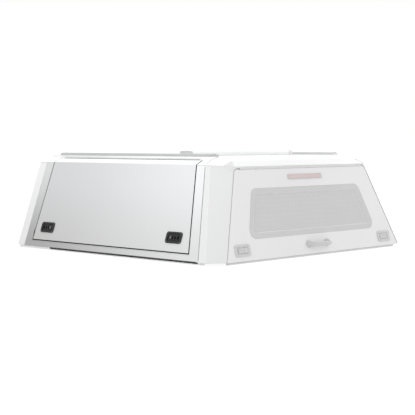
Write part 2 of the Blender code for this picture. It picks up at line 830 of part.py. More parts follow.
def rear_header(parts):
    """The narrow rail over the rear door, whose ends follow the door's rounded corners."""
    top = under_rear_lip() - HEADER_DROP
    steps = ARC_STEPS
    opening = rounded(grow(rear_door_corners(), DOOR_GAP), steps)
    count = steps + 1
    right_arc = opening[2 * count:3 * count][1:]
    left_arc = opening[3 * count:4 * count][:-1]
    lowest = right_arc[0][1]

    def post(side, height):
        return (side * (rear_opening(height) - SEAT), height)
    outline = [post(RIGHT, lowest), *right_arc, *left_arc, post(LEFT, lowest), post(LEFT, top), post(RIGHT, top)]
    rings = [[place(x, rear_face(z) + depth, z) for x, z in outline] for depth in (0.0, DOOR_DEPTH)]
    return loft("rear_header", rings, parts, WHITE)


def rear_lamp(parts):
    """The high brake lamp: a black housing with a red lens let into its face."""
    low = LAMP_HEIGHT - LAMP_TALL / 2
    high = LAMP_HEIGHT + LAMP_TALL / 2
    half = LAMP_LENGTH / 2
    corners = [(x, z, LAMP_RADIUS) for x, z in ((-half, low), (half, low), (half, high), (-half, high))]
    housing = plate("brake_lamp_housing", corners, rear_face, -LAMP_DEEP, -SEAT, parts, BLACK)
    end, bottom, top = half - LENS_END, low + LENS_EDGE, high - LENS_EDGE
    lens = [(x, z, SMALL_RADIUS) for x, z in ((-end, bottom), (end, bottom), (end, top), (-end, top))]
    plate("brake_lamp_lens", lens, rear_face, -LAMP_DEEP - LENS_PROUD, -LAMP_DEEP - SEAT, parts, RED)
    return housing


def rear_handle(parts, cutters):
    """A bow handle: two round feet and a bar that bends out of them."""
    feet = HANDLE_FEET
    steps = 8
    route = [(-feet, 0.0)]
    for i in range(steps + 1):
        turn = math.pi * i / steps
        x = -math.cos(turn) * feet
        out = (HANDLE_STAND - HANDLE_BAR) * (0.26 + 0.74 * math.sin(turn) ** 0.35)
        if 0 < i < steps:
            route.append((x, out))
    route.append((feet, 0.0))
    curve = bpy.data.curves.new("rear_handle_bow", "CURVE")
    curve.dimensions = "3D"
    curve.bevel_depth = HANDLE_BAR / 2
    curve.bevel_resolution = 3
    curve.use_fill_caps = True
    spline = curve.splines.new("POLY")
    spline.points.add(len(route) - 1)
    for point, (x, out) in zip(spline.points, route):
        spot = place(x, rear_face(HANDLE_HEIGHT) - SEAT - HANDLE_FOOT - out, HANDLE_HEIGHT)
        point.co = (*spot, 1.0)
    bow = bpy.data.objects.new("rear_handle_bow", curve)
    parts.objects.link(bow)
    bpy.context.view_layer.update()
    graph = bpy.context.evaluated_depsgraph_get()
    data = bpy.data.meshes.new_from_object(bow.evaluated_get(graph))
    bpy.data.objects.remove(bow, do_unlink=True)
    mesh = bmesh.new()
    mesh.from_mesh(data)
    bmesh.ops.remove_doubles(mesh, verts=mesh.verts, dist=0.0001)
    handle = finish(mesh, "rear_handle", parts, BLACK)
    for side, word in SIDES:
        foot = bmesh.new()
        bmesh.ops.create_cone(foot, cap_ends=True, segments=20, radius1=HANDLE_FOOT_RADIUS,
                              radius2=HANDLE_FOOT_TOP_RADIUS, depth=HANDLE_FOOT_TALL)
        tilt = math.atan2(REAR_TOP_SET, SHOULDER_HEIGHT)
        centre = place(side * feet, rear_face(HANDLE_HEIGHT), HANDLE_HEIGHT)
        for vertex in foot.verts:
            x, y, z = vertex.co
            out = z + HANDLE_FOOT_TALL / 2 + SEAT
            vertex.co = centre + Vector((x, -out * math.cos(tilt) + y * math.sin(tilt),
                                         out * math.sin(tilt) + y * math.cos(tilt)))
        merge(handle, finish(foot, "handle_foot_" + word, cutters, None))
    return handle


def rear_door_seal(parts):
    """The rubber strip under the rear door's bottom edge, set in from its face."""
    half = rear_opening(0.0) - DOOR_GAP - REAR_SEAL_END
    back = REAR_SEAL_SET
    front = REAR_SEAL_SET + REAR_SEAL_DEEP
    rings = []
    for height in (-SEAT, -REAR_SEAL_TALL):
        ring = [(-half, back), (half, back), (half, front), (-half, front)]
        rings.append([place(x, y, height) for x, y in ring])
    return loft("rear_door_bottom_seal", rings, parts, RUBBER)


# Latches

def latch_frame(kind, side, along):
    """Centre, sideways and upward directions and outward normal of a latch, on its wall."""
    if kind == "rear":
        height = REAR_LATCH_HEIGHT
        centre = place(side * REAR_LATCH_X, rear_face(height), height)
        across = Vector((1.0, 0.0, 0.0))
        up = Vector((0.0, REAR_TOP_SET, SHOULDER_HEIGHT)).normalized()
        out = Vector((0.0, -SHOULDER_HEIGHT, REAR_TOP_SET)).normalized()
        return centre, across, up, out
    height = SIDE_LATCH_HEIGHT
    centre = place(side * half_width(height), along, height)
    lean = BASE_HALF_WIDTH - SHOULDER_HALF_WIDTH
    across = Vector((0.0, 1.0, 0.0))
    up = Vector((-side * lean, 0.0, SHOULDER_HEIGHT)).normalized()
    out = Vector((side * SHOULDER_HEIGHT, 0.0, lean)).normalized()
    return centre, across, up, out


def latch_plate(name, frame, width, tall, near, far, radius, group, look, lift=0.0):
    """A rounded plate on a wall, from one distance in front of its face to another."""
    centre, across, up, out = frame
    corners = [
        (-width / 2, -tall / 2 + lift, radius), (width / 2, -tall / 2 + lift, radius),
        (width / 2, tall / 2 + lift, radius), (-width / 2, tall / 2 + lift, radius),
    ]
    outline = rounded(corners, 3)
    rings = [[centre + across * x + up * z + out * away for x, z in outline] for away in (near, far)]
    return loft(name, rings, group, look)


def merge(item, other):
    """Add another object's body to this one."""
    other.hide_render = True
    other.display_type = "WIRE"
    join = item.modifiers.new("join_" + other.name, "BOOLEAN")
    join.operation = "UNION"
    join.object = other
    join.solver = "EXACT"


def latch(parts, cutters, wall, kind, side, along, word):
    """A latch let into a door: a recessed housing and the paddle on its pin."""
    frame = latch_frame(kind, side, along)
    centre, across, up, out = frame

    def pocket(name, margin, near, far, radius):
        return latch_plate(name + word, frame, LATCH_RECESS_WIDTH + 2 * margin, LATCH_RECESS_TALL + 2 * margin,
                           near, far, radius, cutters, None)

    back = -LATCH_RECESS_DEEP - LATCH_BACK
    wide = SMALL_RADIUS + LATCH_LAP
    cut(wall, pocket("latch_hole_", LATCH_WALL + SEAT, THROUGH, -DOOR_DEPTH - THROUGH, wide))
    housing = latch_plate("latch_housing_" + word, frame, LATCH_WIDTH, LATCH_TALL,
                          LATCH_PROUD, SEAT, LATCH_RADIUS, parts, BLACK)
    merge(housing, pocket("latch_body_", LATCH_WALL, LATCH_PROUD - LATCH_LAP, back, wide))
    cut(housing, pocket("latch_recess_", 0.0, THROUGH, -LATCH_RECESS_DEEP, SMALL_RADIUS))
    lift = LATCH_RECESS_TALL / 2 - PADDLE_TOP - PADDLE_TALL / 2
    near = LATCH_PROUD - PADDLE_SET
    paddle = latch_plate("latch_paddle_" + word, frame, PADDLE_WIDTH, PADDLE_TALL,
                         near, near - PADDLE_THICK, PADDLE_THICK, parts, BLACK, lift)
    pin_centre = centre + up * (lift + PADDLE_TALL / 2 - PIN_DOWN) + out * (near - PADDLE_THICK / 2)
    mesh = bmesh.new()
    add_barrel(mesh, PIN_RADIUS, LATCH_RECESS_WIDTH - 2 * SEAT,
               lambda x, y, z: pin_centre + across * z + up * x + out * y)
    merge(paddle, finish(mesh, "latch_pin_" + word, cutters, None))
    move_origin(paddle, pin_centre)
    return housing, paddle


# Front wall and base seals

def front_panel(parts, cutters):
    """The flat wall behind the cab, from post to post, with its window."""
    top = under_rear_lip()

    def edge(height):
        return half_width(height) - FRONT_CUT - SEAT
    corners = [(-edge(0.0), 0.0, 0.0), (edge(0.0), 0.0, 0.0), (edge(top), top, 0.0), (-edge(top), top, 0.0)]
    wall = plate("front_panel", corners, front_face, 0.0, -DOOR_DEPTH, parts, WHITE)
    back = -DOOR_DEPTH - THROUGH
    pan = plate("front_panel_pan", shrink(corners, DOOR_RIM), front_face, -DOOR_SKIN, back, cutters, None)
    half = FRONT_WINDOW_HALF
    window = [
        (-half, FRONT_WINDOW_BOTTOM, WINDOW_RADIUS), (half, FRONT_WINDOW_BOTTOM, WINDOW_RADIUS),
        (half, FRONT_WINDOW_TOP, WINDOW_RADIUS), (-half, FRONT_WINDOW_TOP, WINDOW_RADIUS),
    ]
    rib = plate("front_panel_window_rib", grow(window, WINDOW_RIB), front_face, 0.0, back - THROUGH, cutters, None)
    cut(pan, rib)
    cut(wall, pan)
    window_set(parts, cutters, wall, window, front_face, 1, DOOR_DEPTH, "front_window")
    return wall


def base_seal(parts):
    """One rubber strip under the left side, the front and the right side."""
    def half_loop(inset):
        half = BASE_HALF_WIDTH - inset
        front = LENGTH - inset
        corner = FRONT_CUT - inset * (2 - math.sqrt(2))
        return [(half, REAR_SEAM_BASE), (half, front - corner), (half - corner, front)]

    outer = half_loop(SEAL_SET)
    inner = half_loop(SEAL_SET + SEAL_WIDTH)
    outline = outer + [(-x, y) for x, y in outer[::-1]] + [(-x, y) for x, y in inner] + inner[::-1]
    rings = [[place(x, y, height) for x, y in outline] for height in (-SEAL_HEIGHT, -SEAT)]
    return loft("base_seal", rings, parts, RUBBER)


def side_edge_trim(parts, side, word):
    """The black rubber edging under the side frame, in front of the base seal."""
    outer = BASE_HALF_WIDTH - TRIM_SET
    inner = outer - TRIM_WIDTH
    rear, front = TRIM_REAR, LENGTH - TRIM_FRONT_SET
    corners = ((outer, rear), (outer, front), (inner, front), (inner, rear))
    rings = [[place(x, y, height) for x, y in corners] for height in (-TRIM_TALL, -SEAT)]
    return loft("side_edge_trim_" + word, rings, parts, RUBBER, side)


clear_scene()
PARTS = collection("pickup_canopy")
CUTTERS = collection("cutters")

openings = [side_opening_cutter(CUTTERS, side, word) for side, word in SIDES]
roof_panel(PARTS, openings)
for side, word in SIDES:
    rear_post(PARTS, side, word)
    front_post(PARTS, side, word)
    side_frame(PARTS, CUTTERS, side, word)
    side_door_seal(PARTS, side, word)
    door = side_door(PARTS, CUTTERS, side, word)
    side_hinge(PARTS, side, word)
    roof_rail(PARTS, side, word)
    side_edge_trim(PARTS, side, word)
    latch(PARTS, CUTTERS, door, "side", side, SIDE_LATCH_REAR, "side_" + word + "_rear")
    latch(PARTS, CUTTERS, door, "side", side, SIDE_LATCH_FRONT, "side_" + word + "_front")
roof_bar(PARTS)
rear, ring, glass = rear_door(PARTS, CUTTERS)
move = rear_hinge_point()
rear_door_hinge(PARTS)
rear_header(PARTS)
rear_lamp(PARTS)
rear_handle(PARTS, CUTTERS)
rear_door_seal(PARTS)
for side, word in SIDES:
    latch(PARTS, CUTTERS, rear, "rear", side, 0.0, "rear_" + word)
move_origin(rear, move)
front_panel(PARTS, CUTTERS)
base_seal(PARTS)
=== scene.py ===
"""Looks of a hard canopy for a pickup truck's bed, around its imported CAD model."""
import math

import bmesh
import bpy
from mathutils import Matrix, Vector


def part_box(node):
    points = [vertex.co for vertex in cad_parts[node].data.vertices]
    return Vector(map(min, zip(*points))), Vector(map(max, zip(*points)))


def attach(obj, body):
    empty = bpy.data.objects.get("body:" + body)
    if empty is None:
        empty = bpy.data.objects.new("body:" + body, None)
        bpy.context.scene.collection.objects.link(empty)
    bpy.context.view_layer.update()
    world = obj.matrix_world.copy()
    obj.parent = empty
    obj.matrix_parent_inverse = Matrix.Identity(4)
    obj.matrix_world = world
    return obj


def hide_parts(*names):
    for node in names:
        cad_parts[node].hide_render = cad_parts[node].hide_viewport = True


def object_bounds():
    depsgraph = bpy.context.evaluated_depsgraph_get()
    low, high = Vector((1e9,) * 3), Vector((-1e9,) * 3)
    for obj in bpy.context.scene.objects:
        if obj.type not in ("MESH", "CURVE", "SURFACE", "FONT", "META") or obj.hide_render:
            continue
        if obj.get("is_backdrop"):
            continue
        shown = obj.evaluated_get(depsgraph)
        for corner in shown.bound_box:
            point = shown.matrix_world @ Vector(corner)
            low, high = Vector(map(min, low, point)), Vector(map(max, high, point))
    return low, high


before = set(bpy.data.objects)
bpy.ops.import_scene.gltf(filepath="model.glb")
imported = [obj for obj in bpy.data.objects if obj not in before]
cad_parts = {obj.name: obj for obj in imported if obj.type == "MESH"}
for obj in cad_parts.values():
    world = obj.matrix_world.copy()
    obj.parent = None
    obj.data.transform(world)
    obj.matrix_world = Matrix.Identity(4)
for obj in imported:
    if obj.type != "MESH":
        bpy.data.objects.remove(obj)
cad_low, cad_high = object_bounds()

# Base seal and edge trim. A strip of pale closed-cell foam lies on the truck's bed rails, glued
# to the underside of the folded frames. A black rubber edging hides it along each side.


def finish_of(name, dark, light, roughness, mottle, grain, bump,
              spread=0.06, coat=0.0, metallic=0.0, specular=0.5):
    """A finish whose colour drifts between two tones and whose grain shows in gloss and relief."""
    made = bpy.data.materials.new(name)
    made.use_nodes = True
    nodes, links = made.node_tree.nodes, made.node_tree.links
    shader = nodes["Principled BSDF"]
    shader.inputs["Metallic"].default_value = metallic
    shader.inputs["Specular IOR Level"].default_value = specular
    shader.inputs["Coat Weight"].default_value = coat
    shader.inputs["Coat Roughness"].default_value = 0.12
    place = nodes.new("ShaderNodeTexCoord")
    clouds = nodes.new("ShaderNodeTexNoise")
    clouds.inputs["Scale"].default_value = mottle
    clouds.inputs["Detail"].default_value = 3.0
    tones = nodes.new("ShaderNodeValToRGB")
    tones.color_ramp.elements[0].position = 0.35
    tones.color_ramp.elements[0].color = (*dark, 1.0)
    tones.color_ramp.elements[1].position = 0.65
    tones.color_ramp.elements[1].color = (*light, 1.0)
    specks = nodes.new("ShaderNodeTexNoise")
    specks.inputs["Scale"].default_value = grain
    specks.inputs["Detail"].default_value = 2.0
    gloss = nodes.new("ShaderNodeMapRange")
    gloss.inputs["To Min"].default_value = roughness - spread
    gloss.inputs["To Max"].default_value = roughness + spread
    relief = nodes.new("ShaderNodeBump")
    relief.inputs["Strength"].default_value = bump
    relief.inputs["Distance"].default_value = 0.0004
    links.new(place.outputs["Object"], clouds.inputs["Vector"])
    links.new(place.outputs["Object"], specks.inputs["Vector"])
    links.new(clouds.outputs["Fac"], tones.inputs["Fac"])
    links.new(tones.outputs["Color"], shader.inputs["Base Color"])
    links.new(specks.outputs["Fac"], gloss.inputs["Value"])
    links.new(gloss.outputs["Result"], shader.inputs["Roughness"])
    links.new(specks.outputs["Fac"], relief.inputs["Height"])
    links.new(relief.outputs["Normal"], shader.inputs["Normal"])
    return made


def piece(name, mesh, finish, body, nodes=(), smooth=35.0):
    """A finished piece: it takes its finish, rides on its body and stands for its CAD nodes."""
    bmesh.ops.recalc_face_normals(mesh, faces=mesh.faces)
    data = bpy.data.meshes.new(name)
    mesh.to_mesh(data)
    mesh.free()
    made = bpy.data.objects.new(name, data)
    bpy.context.scene.collection.objects.link(made)
    data.materials.append(finish)
    data.shade_smooth()
    data.set_sharp_from_angle(angle=math.radians(smooth))
    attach(made, body)
    if nodes:
        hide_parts(*nodes)
    return made


def sweep(mesh, path, section, outward=Vector((0.0, 0.0, 1.0)), closed=False):
    """A section of (across, up) points carried along a path, mitred at its corners."""
    count = len(path)
    ups = outward if isinstance(outward, list) else [outward] * count
    sharpest = 0.3
    rings = []
    for i, here in enumerate(path):
        before = path[i - 1] if i or closed else here - (path[1] - here)
        after = path[(i + 1) % count] if i + 1 < count or closed else here + (here - path[i - 1])
        side_a = (here - before).normalized().cross(ups[i]).normalized()
        side_b = (after - here).normalized().cross(ups[i]).normalized()
        side = (side_a + side_b).normalized()
        side /= max(side.dot(side_a), sharpest)
        rings.append([mesh.verts.new(here + side * a + ups[i] * b) for a, b in section])
    size = len(section)
    for i in range(count if closed else count - 1):
        low, high = rings[i], rings[(i + 1) % count]
        for j in range(size):
            k = (j + 1) % size
            mesh.faces.new((low[j], low[k], high[k], high[j]))
    if not closed:
        mesh.faces.new(rings[0])
        mesh.faces.new(rings[-1])


def swept(name, path, section, finish, body, slot, nodes=(), smooth=35.0, **way):
    """A piece that is one section carried along a path."""
    mesh = bmesh.new()
    sweep(mesh, path, section, **way)
    return piece(name, mesh, finish, body, nodes, smooth)


pale_foam = finish_of("pale_foam", (0.80, 0.80, 0.80), (0.86, 0.86, 0.86), roughness=0.85,
                      mottle=30.0, grain=1400.0, bump=0.5)
black_rubber = finish_of("black_rubber", (0.012, 0.012, 0.013), (0.020, 0.020, 0.021),
                         roughness=0.70, mottle=9.0, grain=900.0, bump=0.5, specular=0.2)
seal_low, seal_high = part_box("base_seal")
seal_half = 0.018
seal_tall = seal_high.z - seal_low.z
seal_corner = 0.073
edge_x = seal_high.x - seal_half
edge_y = seal_high.y - seal_half
turn = seal_corner - seal_half * (2 - math.sqrt(2))
seal_path = [Vector((x, y, seal_low.z)) for x, y in (
    (-edge_x, seal_low.y), (-edge_x, edge_y - turn), (-edge_x + turn, edge_y),
    (edge_x - turn, edge_y), (edge_x, edge_y - turn), (edge_x, seal_low.y))]
bead_radius = 0.0045
bead_steps = 6
groove_depth = 0.0012
groove = ((0.72, 0.0), (0.68, groove_depth), (0.60, groove_depth), (0.56, 0.0))
seal_section = [(-seal_half, seal_tall)]
seal_section += [(-seal_half + depth, seal_tall * level) for level, depth in groove]
seal_section.append((-seal_half, bead_radius))
for step in range(1, bead_steps + 1):
    bend = math.pi / 2 * step / bead_steps
    seal_section.append((-seal_half + bead_radius - bead_radius * math.cos(bend),
                         bead_radius - bead_radius * math.sin(bend)))
seal_section += [(seal_half - bead_radius, 0.0), (seal_half, bead_radius), (seal_half, seal_tall)]
swept("base_seal_strip", seal_path, seal_section, pale_foam, "shell", "black_rubber", ["base_seal"])

nick_depth = 0.0008
nick = ((0.62, 0.0), (0.56, nick_depth), (0.50, 0.0))
foot_lift = 0.0020
foot_steps = 8
for word in ("left", "right"):
    node = "side_edge_trim_" + word
    trim_low, trim_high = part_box(node)
    middle_x = (trim_low.x + trim_high.x) / 2
    half = (trim_high.x - trim_low.x) / 2
    tall = trim_high.z - trim_low.z
    trim_section = [(-half, tall)]
    trim_section += [(-half + depth, tall * level) for level, depth in nick]
    for step in range(foot_steps + 1):
        bend = math.pi * step / foot_steps
        trim_section.append((-half * math.cos(bend),
                             foot_lift + half * 0.5 * (1 - math.sin(bend))))
    trim_section += [(half - depth, tall * level) for level, depth in reversed(nick)]
    trim_section.append((half, tall))
    ends = [Vector((middle_x, y, trim_low.z)) for y in (trim_low.y, trim_high.y)]
    swept(node + "_strip", ends, trim_section, black_rubber, "shell", "black_rubber", [node],
          smooth=25.0)

# Side frames. The sill and two stiles round each side door are folded from one steel sheet,
# painted in the same satin silver white as the door, and stand on the base seal. The edging
# laps over the sill's foot, and a black rubber seal is pressed onto the inner flange.


def far(node, *direction):
    """The point of a CAD node that lies farthest in a direction."""
    way = Vector(direction)
    return max((vertex.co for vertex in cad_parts[node].data.vertices), key=way.dot).copy()


def paint_light_and_shade(made, front_low, front_high, rear_low, rear_high, crown):
    """Paint light and shade into a paint's tone: painted shade towards the foot and the front, and
    a painted highlight over the bend.
    """
    nodes, links = made.node_tree.nodes, made.node_tree.links
    colour = nodes["Principled BSDF"].inputs["Base Color"]
    drift = colour.links[0].from_socket
    place = nodes.new("ShaderNodeTexCoord")
    axes = nodes.new("ShaderNodeSeparateXYZ")
    links.new(place.outputs["Object"], axes.inputs["Vector"])

    def share(axis, start, end):
        ramp = nodes.new("ShaderNodeMapRange")
        ramp.interpolation_type = "SMOOTHSTEP"
        ramp.inputs["From Min"].default_value = start
        ramp.inputs["From Max"].default_value = end
        links.new(axes.outputs[axis], ramp.inputs["Value"])
        return ramp.outputs["Result"]

    def blend(amount, first, second, mode="MIX"):
        mix = nodes.new("ShaderNodeMix")
        mix.data_type = "RGBA"
        mix.blend_type = mode
        if isinstance(amount, float):
            mix.inputs[0].default_value = amount
        else:
            links.new(amount, mix.inputs[0])
        for socket, value in ((mix.inputs[6], first), (mix.inputs[7], second)):
            if isinstance(value, tuple):
                socket.default_value = (*value, 1.0)
            else:
                links.new(value, socket)
        return mix.outputs[2]

    # Painted shade darkens the wall towards its foot and the front; a painted highlight pales the
    # bend.
    door_end, wall_head, bend_start, bend_end = 0.75, 0.47, 0.487, 0.497
    forward = share("Y", -door_end, door_end)
    upward = share("Z", 0.0, wall_head)
    over = share("Z", bend_start, bend_end)
    low = blend(forward, rear_low, front_low)
    high = blend(forward, rear_high, front_high)
    wall = blend(upward, low, high)
    tone = blend(over, wall, crown)
    links.new(blend(1.0, tone, drift, "MULTIPLY"), colour)
    return made


def dressed(node, finish, edge, body="shell", angle=25.0, segments=2, fold=0.0):
    """A CAD node's own form, with its folds and edges rounded as bending and sanding leave them."""
    mesh = bmesh.new()
    mesh.from_mesh(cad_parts[node].data)
    bmesh.ops.remove_doubles(mesh, verts=mesh.verts, dist=0.00002)
    bmesh.ops.dissolve_limit(mesh, angle_limit=math.radians(1.0), verts=mesh.verts,
                             edges=mesh.edges)
    if fold:
        least, most, shortest = math.radians(6.0), math.radians(75.0), 0.05
        bent = [item for item in mesh.edges if item.is_manifold and item.calc_length() > shortest
                and least < item.calc_face_angle(0.0) < most]
        bmesh.ops.bevel(mesh, geom=bent, offset=fold, offset_type="OFFSET", segments=4,
                        profile=0.5, affect="EDGES", clamp_overlap=True)
    made = piece(node + "_skin", mesh, finish, body, [node], smooth=40.0)
    if edge:
        rounding = made.modifiers.new("edge", "BEVEL")
        rounding.width = edge
        rounding.segments = segments
        rounding.limit_method = "ANGLE"
        rounding.angle_limit = math.radians(angle)
        rounding.harden_normals = True
    return made


# The side frames' paint carries painted shade, darker towards the foot and the front, and a painted
# highlight over the bend.
frame_paint = paint_light_and_shade(
    finish_of("frame_paint", (0.975, 0.98, 0.985), (1.0, 1.0, 1.0), roughness=0.38, mottle=1.1,
              grain=700.0, bump=0.05, spread=0.03, coat=0.25),
    front_low=(0.30, 0.302, 0.30), front_high=(0.578, 0.580, 0.580),
    rear_low=(0.60, 0.605, 0.60), rear_high=(0.74, 0.745, 0.755), crown=(0.80, 0.805, 0.81))
lap_foot, lap_tall, lap_proud, lap_root = 0.0006, 0.0026, 0.0002, -0.0006
sides = (("left", -1), ("right", 1))
for word, outside in sides:
    dressed("side_frame_" + word, frame_paint, 0.0010)
    trim_low, trim_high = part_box("side_edge_trim_" + word)
    edge = far("side_frame_" + word, outside, 0.0, -1)
    head = far("side_frame_" + word, outside * 0.5, 0.0, 1)
    lean = (head.x - edge.x) / (head.z - edge.z)
    lap_line = [Vector((edge.x + lean * lap_foot, y, edge.z + lap_foot))
                for y in (trim_low.y, trim_high.y)]
    lap_out = Vector((outside, 0.0, abs(lean))).normalized()
    lap_up = -1 if Vector((0.0, 1.0, 0.0)).cross(lap_out).z < 0 else 1
    lap_section = [(0.0, lap_root), (0.0, lap_proud), (lap_tall * lap_up, lap_proud),
                   (lap_tall * lap_up, lap_root)]
    swept("side_edge_trim_" + word + "_lap", lap_line, lap_section, black_rubber, "shell",
          "black_rubber", outward=lap_out)
    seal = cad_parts["side_door_seal_" + word].data
    seal.materials.clear()
    seal.materials.append(black_rubber)

# Shell. Corner posts and front wall are folded sheet in gloss white, welded to the side frames
# into one body. A bead of grey sealant runs down the joint between each rear post and its frame.


def outward_of(run, outside):
    """The way out from a side's sheet that climbs along a run and lies level along the truck."""
    out = run.cross(Vector((0.0, 1.0, 0.0))).normalized()
    return out * outside * math.copysign(1.0, out.x)


post_paint = finish_of("post_paint", (0.652, 0.654, 0.655), (0.674, 0.676, 0.677),
                       roughness=0.34, mottle=1.3, grain=650.0, bump=0.05, spread=0.03, coat=0.3)
white_paint = finish_of("white_paint", (0.680, 0.682, 0.683), (0.704, 0.706, 0.707),
                        roughness=0.30, mottle=1.3, grain=650.0, bump=0.05, spread=0.03, coat=0.35)
# The front posts' paint carries painted shade: it darkens from head to foot.
post_foot_tone, post_head_tone = (0.665, 0.666, 0.666), (0.732, 0.733, 0.733)
front_paint = paint_light_and_shade(
    finish_of("front_paint", (0.975, 0.978, 0.98), (1.0, 1.0, 1.0), roughness=0.30, mottle=1.3,
              grain=650.0, bump=0.05, spread=0.03, coat=0.35),
    post_foot_tone, post_head_tone, post_foot_tone, post_head_tone, post_head_tone)
sealant = finish_of("sealant", (0.16, 0.16, 0.165), (0.22, 0.22, 0.225), roughness=0.60,
                    mottle=40.0, grain=500.0, bump=0.4)
bead_half, bead_proud, bead_deep = 0.0021, 0.0004, 0.0020
bead_foot, bead_head = 0.02, 0.985
bead_section = [(-bead_half, -bead_deep), (-bead_half, 0.0), (-bead_half / 2, bead_proud),
                (bead_half / 2, bead_proud), (bead_half, 0.0), (bead_half, -bead_deep)]
for word, outside in sides:
    dressed("rear_corner_post_" + word, post_paint, 0.0006, fold=0.004)
    dressed("front_corner_post_" + word, front_paint, 0.0006, fold=0.004)
    foot = far("side_frame_" + word, outside, -1, -1)
    rise = far("side_frame_" + word, outside * 0.5, -1, 1) - foot
    start = foot + rise * bead_foot
    stop = foot + rise * bead_head
    swept("post_seam_bead_" + word, [start, start.lerp(stop, 0.5), stop], bead_section, sealant,
          "shell", "white_paint", outward=outward_of(rise, outside))
dressed("front_panel", white_paint, 0.0010)

# Roof. One pressed steel panel with a raised middle, chamfered all round and folded down into
# a lip over the walls. The rear header is welded under it, and sealer fills their seam. Small
# tabs close the roof's rear corners, and the folds beside them are sealed.

# The roof's paint is the walls' gloss white made paler: painted light on the roof, and on the
# header and its seam bead in the lip's shade.
roof_paint_painted_light = finish_of("roof_paint_painted_light", (0.800, 0.802, 0.803), (0.825, 0.827, 0.828),
                       roughness=0.30, mottle=1.0, grain=650.0, bump=0.05, spread=0.03, coat=0.35)
# The tabs' paint is the same gloss white made darker: painted shade on the corner tabs.
tab_paint_painted_shade = finish_of("tab_paint_painted_shade", (0.630, 0.632, 0.633), (0.650, 0.652, 0.653),
                      roughness=0.34, mottle=1.3, grain=650.0, bump=0.05, spread=0.03, coat=0.3)
mitre_sealant = finish_of("mitre_sealant", (0.55, 0.55, 0.55), (0.60, 0.60, 0.60),
                          roughness=0.60, mottle=40.0, grain=500.0, bump=0.3)
dressed("rear_header", roof_paint_painted_light, 0.0008)
dressed("roof_panel", roof_paint_painted_light, 0.0006, angle=60.0, fold=0.006)
header_low, header_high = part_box("rear_header")
seam_tall, seam_back, seam_step, seam_short = 0.0011, 0.008, 0.0012, 0.003
seam_ends = [Vector((way * (header_high.x - seam_short), header_low.y + seam_step, header_high.z))
             for way in (1, -1)]
swept("header_seam_bead", seam_ends, [(0.0, -seam_tall), (0.0, seam_tall), (seam_back, seam_tall),
                                      (seam_back, -seam_tall)], roof_paint_painted_light, "shell", "white_paint")

crease_half, crease_proud, crease_root = 0.0056, 0.0004, -0.001
crease_section = [(-crease_half, crease_root), (-crease_half, 0.0), (0.0, crease_proud),
                  (crease_half, 0.0), (crease_half, crease_root)]
crease_spots = ((0.6205, -0.5870, 0.4945), (0.5700, -0.5705, 0.5152), (0.5520, -0.5680, 0.5222),
                (0.5320, -0.5770, 0.5300))
tab_spots = ((0.5800, -0.6626, 0.4884), (0.5182, -0.6624, 0.5086), (0.5438, -0.7010, 0.4846),
             (0.5820, -0.6640, 0.4822), (0.5458, -0.7024, 0.4782), (0.5640, -0.7020, 0.4480))
tab_faces = ((0, 1, 2), (0, 2, 4, 3), (3, 4, 5))
for word, outside in sides:
    swept("roof_mitre_" + word, [Vector((outside * x, y, z)) for x, y, z in crease_spots],
          crease_section, mitre_sealant, "shell", "white_paint",
          outward=Vector((outside * -0.37, 0.0, 0.93)).normalized())
    tab = bmesh.new()
    corners = [tab.verts.new((outside * x, y, z)) for x, y, z in tab_spots]
    for face in tab_faces:
        tab.faces.new([corners[index] for index in face])
    made = piece("roof_corner_tab_" + word, tab, tab_paint_painted_shade, "shell", smooth=5.0)
    made.data.shade_flat()
    plate = made.modifiers.new("plate", "SOLIDIFY")
    plate.thickness = 0.0014

# Roof rails. Two slotted aluminium tracks with sloping ends, powder coated and bolted to the
# raised middle of the roof. Rack feet slide in the slot, over the heads of the bolts.


def turned(mesh, base, axis, profile, segments=16):
    """A round form about an axis from a base point, its profile given as (radius, along)."""
    axis = axis.normalized()
    first = axis.orthogonal().normalized()
    second = axis.cross(first)
    rings = []
    for radius, along in profile:
        centre = base + axis * along
        if radius <= 0.0:
            rings.append([mesh.verts.new(centre)])
            continue
        ring = []
        for step in range(segments):
            spin = 2 * math.pi * step / segments
            spoke = first * math.cos(spin) + second * math.sin(spin)
            ring.append(mesh.verts.new(centre + spoke * radius))
        rings.append(ring)
    for low, high in zip(rings, rings[1:]):
        for step in range(segments):
            after = (step + 1) % segments
            corners = [low[step % len(low)], low[after % len(low)], high[after % len(high)],
                       high[step % len(high)]]
            mesh.faces.new(list(dict.fromkeys(corners)))


# Both rails take one powder coat; the right one is made paler, painted light on its inner face,
# which lies in shade.
rail_coats = {
    "left": finish_of("rail_coat_left", (0.46, 0.462, 0.465), (0.50, 0.502, 0.505),
                      roughness=0.45, mottle=6.0, grain=1200.0, bump=0.15),
    "right": finish_of("rail_coat_right_painted_light", (0.585, 0.587, 0.59), (0.63, 0.632, 0.635),
                       roughness=0.45, mottle=6.0, grain=1200.0, bump=0.15),
}
bolt_steel = finish_of("bolt_steel", (0.34, 0.34, 0.34), (0.42, 0.42, 0.42), roughness=0.35,
                       mottle=60.0, grain=700.0, bump=0.2, metallic=0.8)
bolt_count, end_share, slot_depth = 6, 0.06, 0.008
washer_radius, washer_low, washer_top = 0.0052, 0.0002, 0.0010
head_radius, head_top = 0.0044, 0.0036
crown_radius, crown_top = 0.0038, 0.0042
bolt_profile = [(0.0, washer_low), (washer_radius, washer_low), (washer_radius, washer_top),
                (head_radius, washer_top), (head_radius, head_top), (crown_radius, crown_top),
                (0.0, crown_top)]
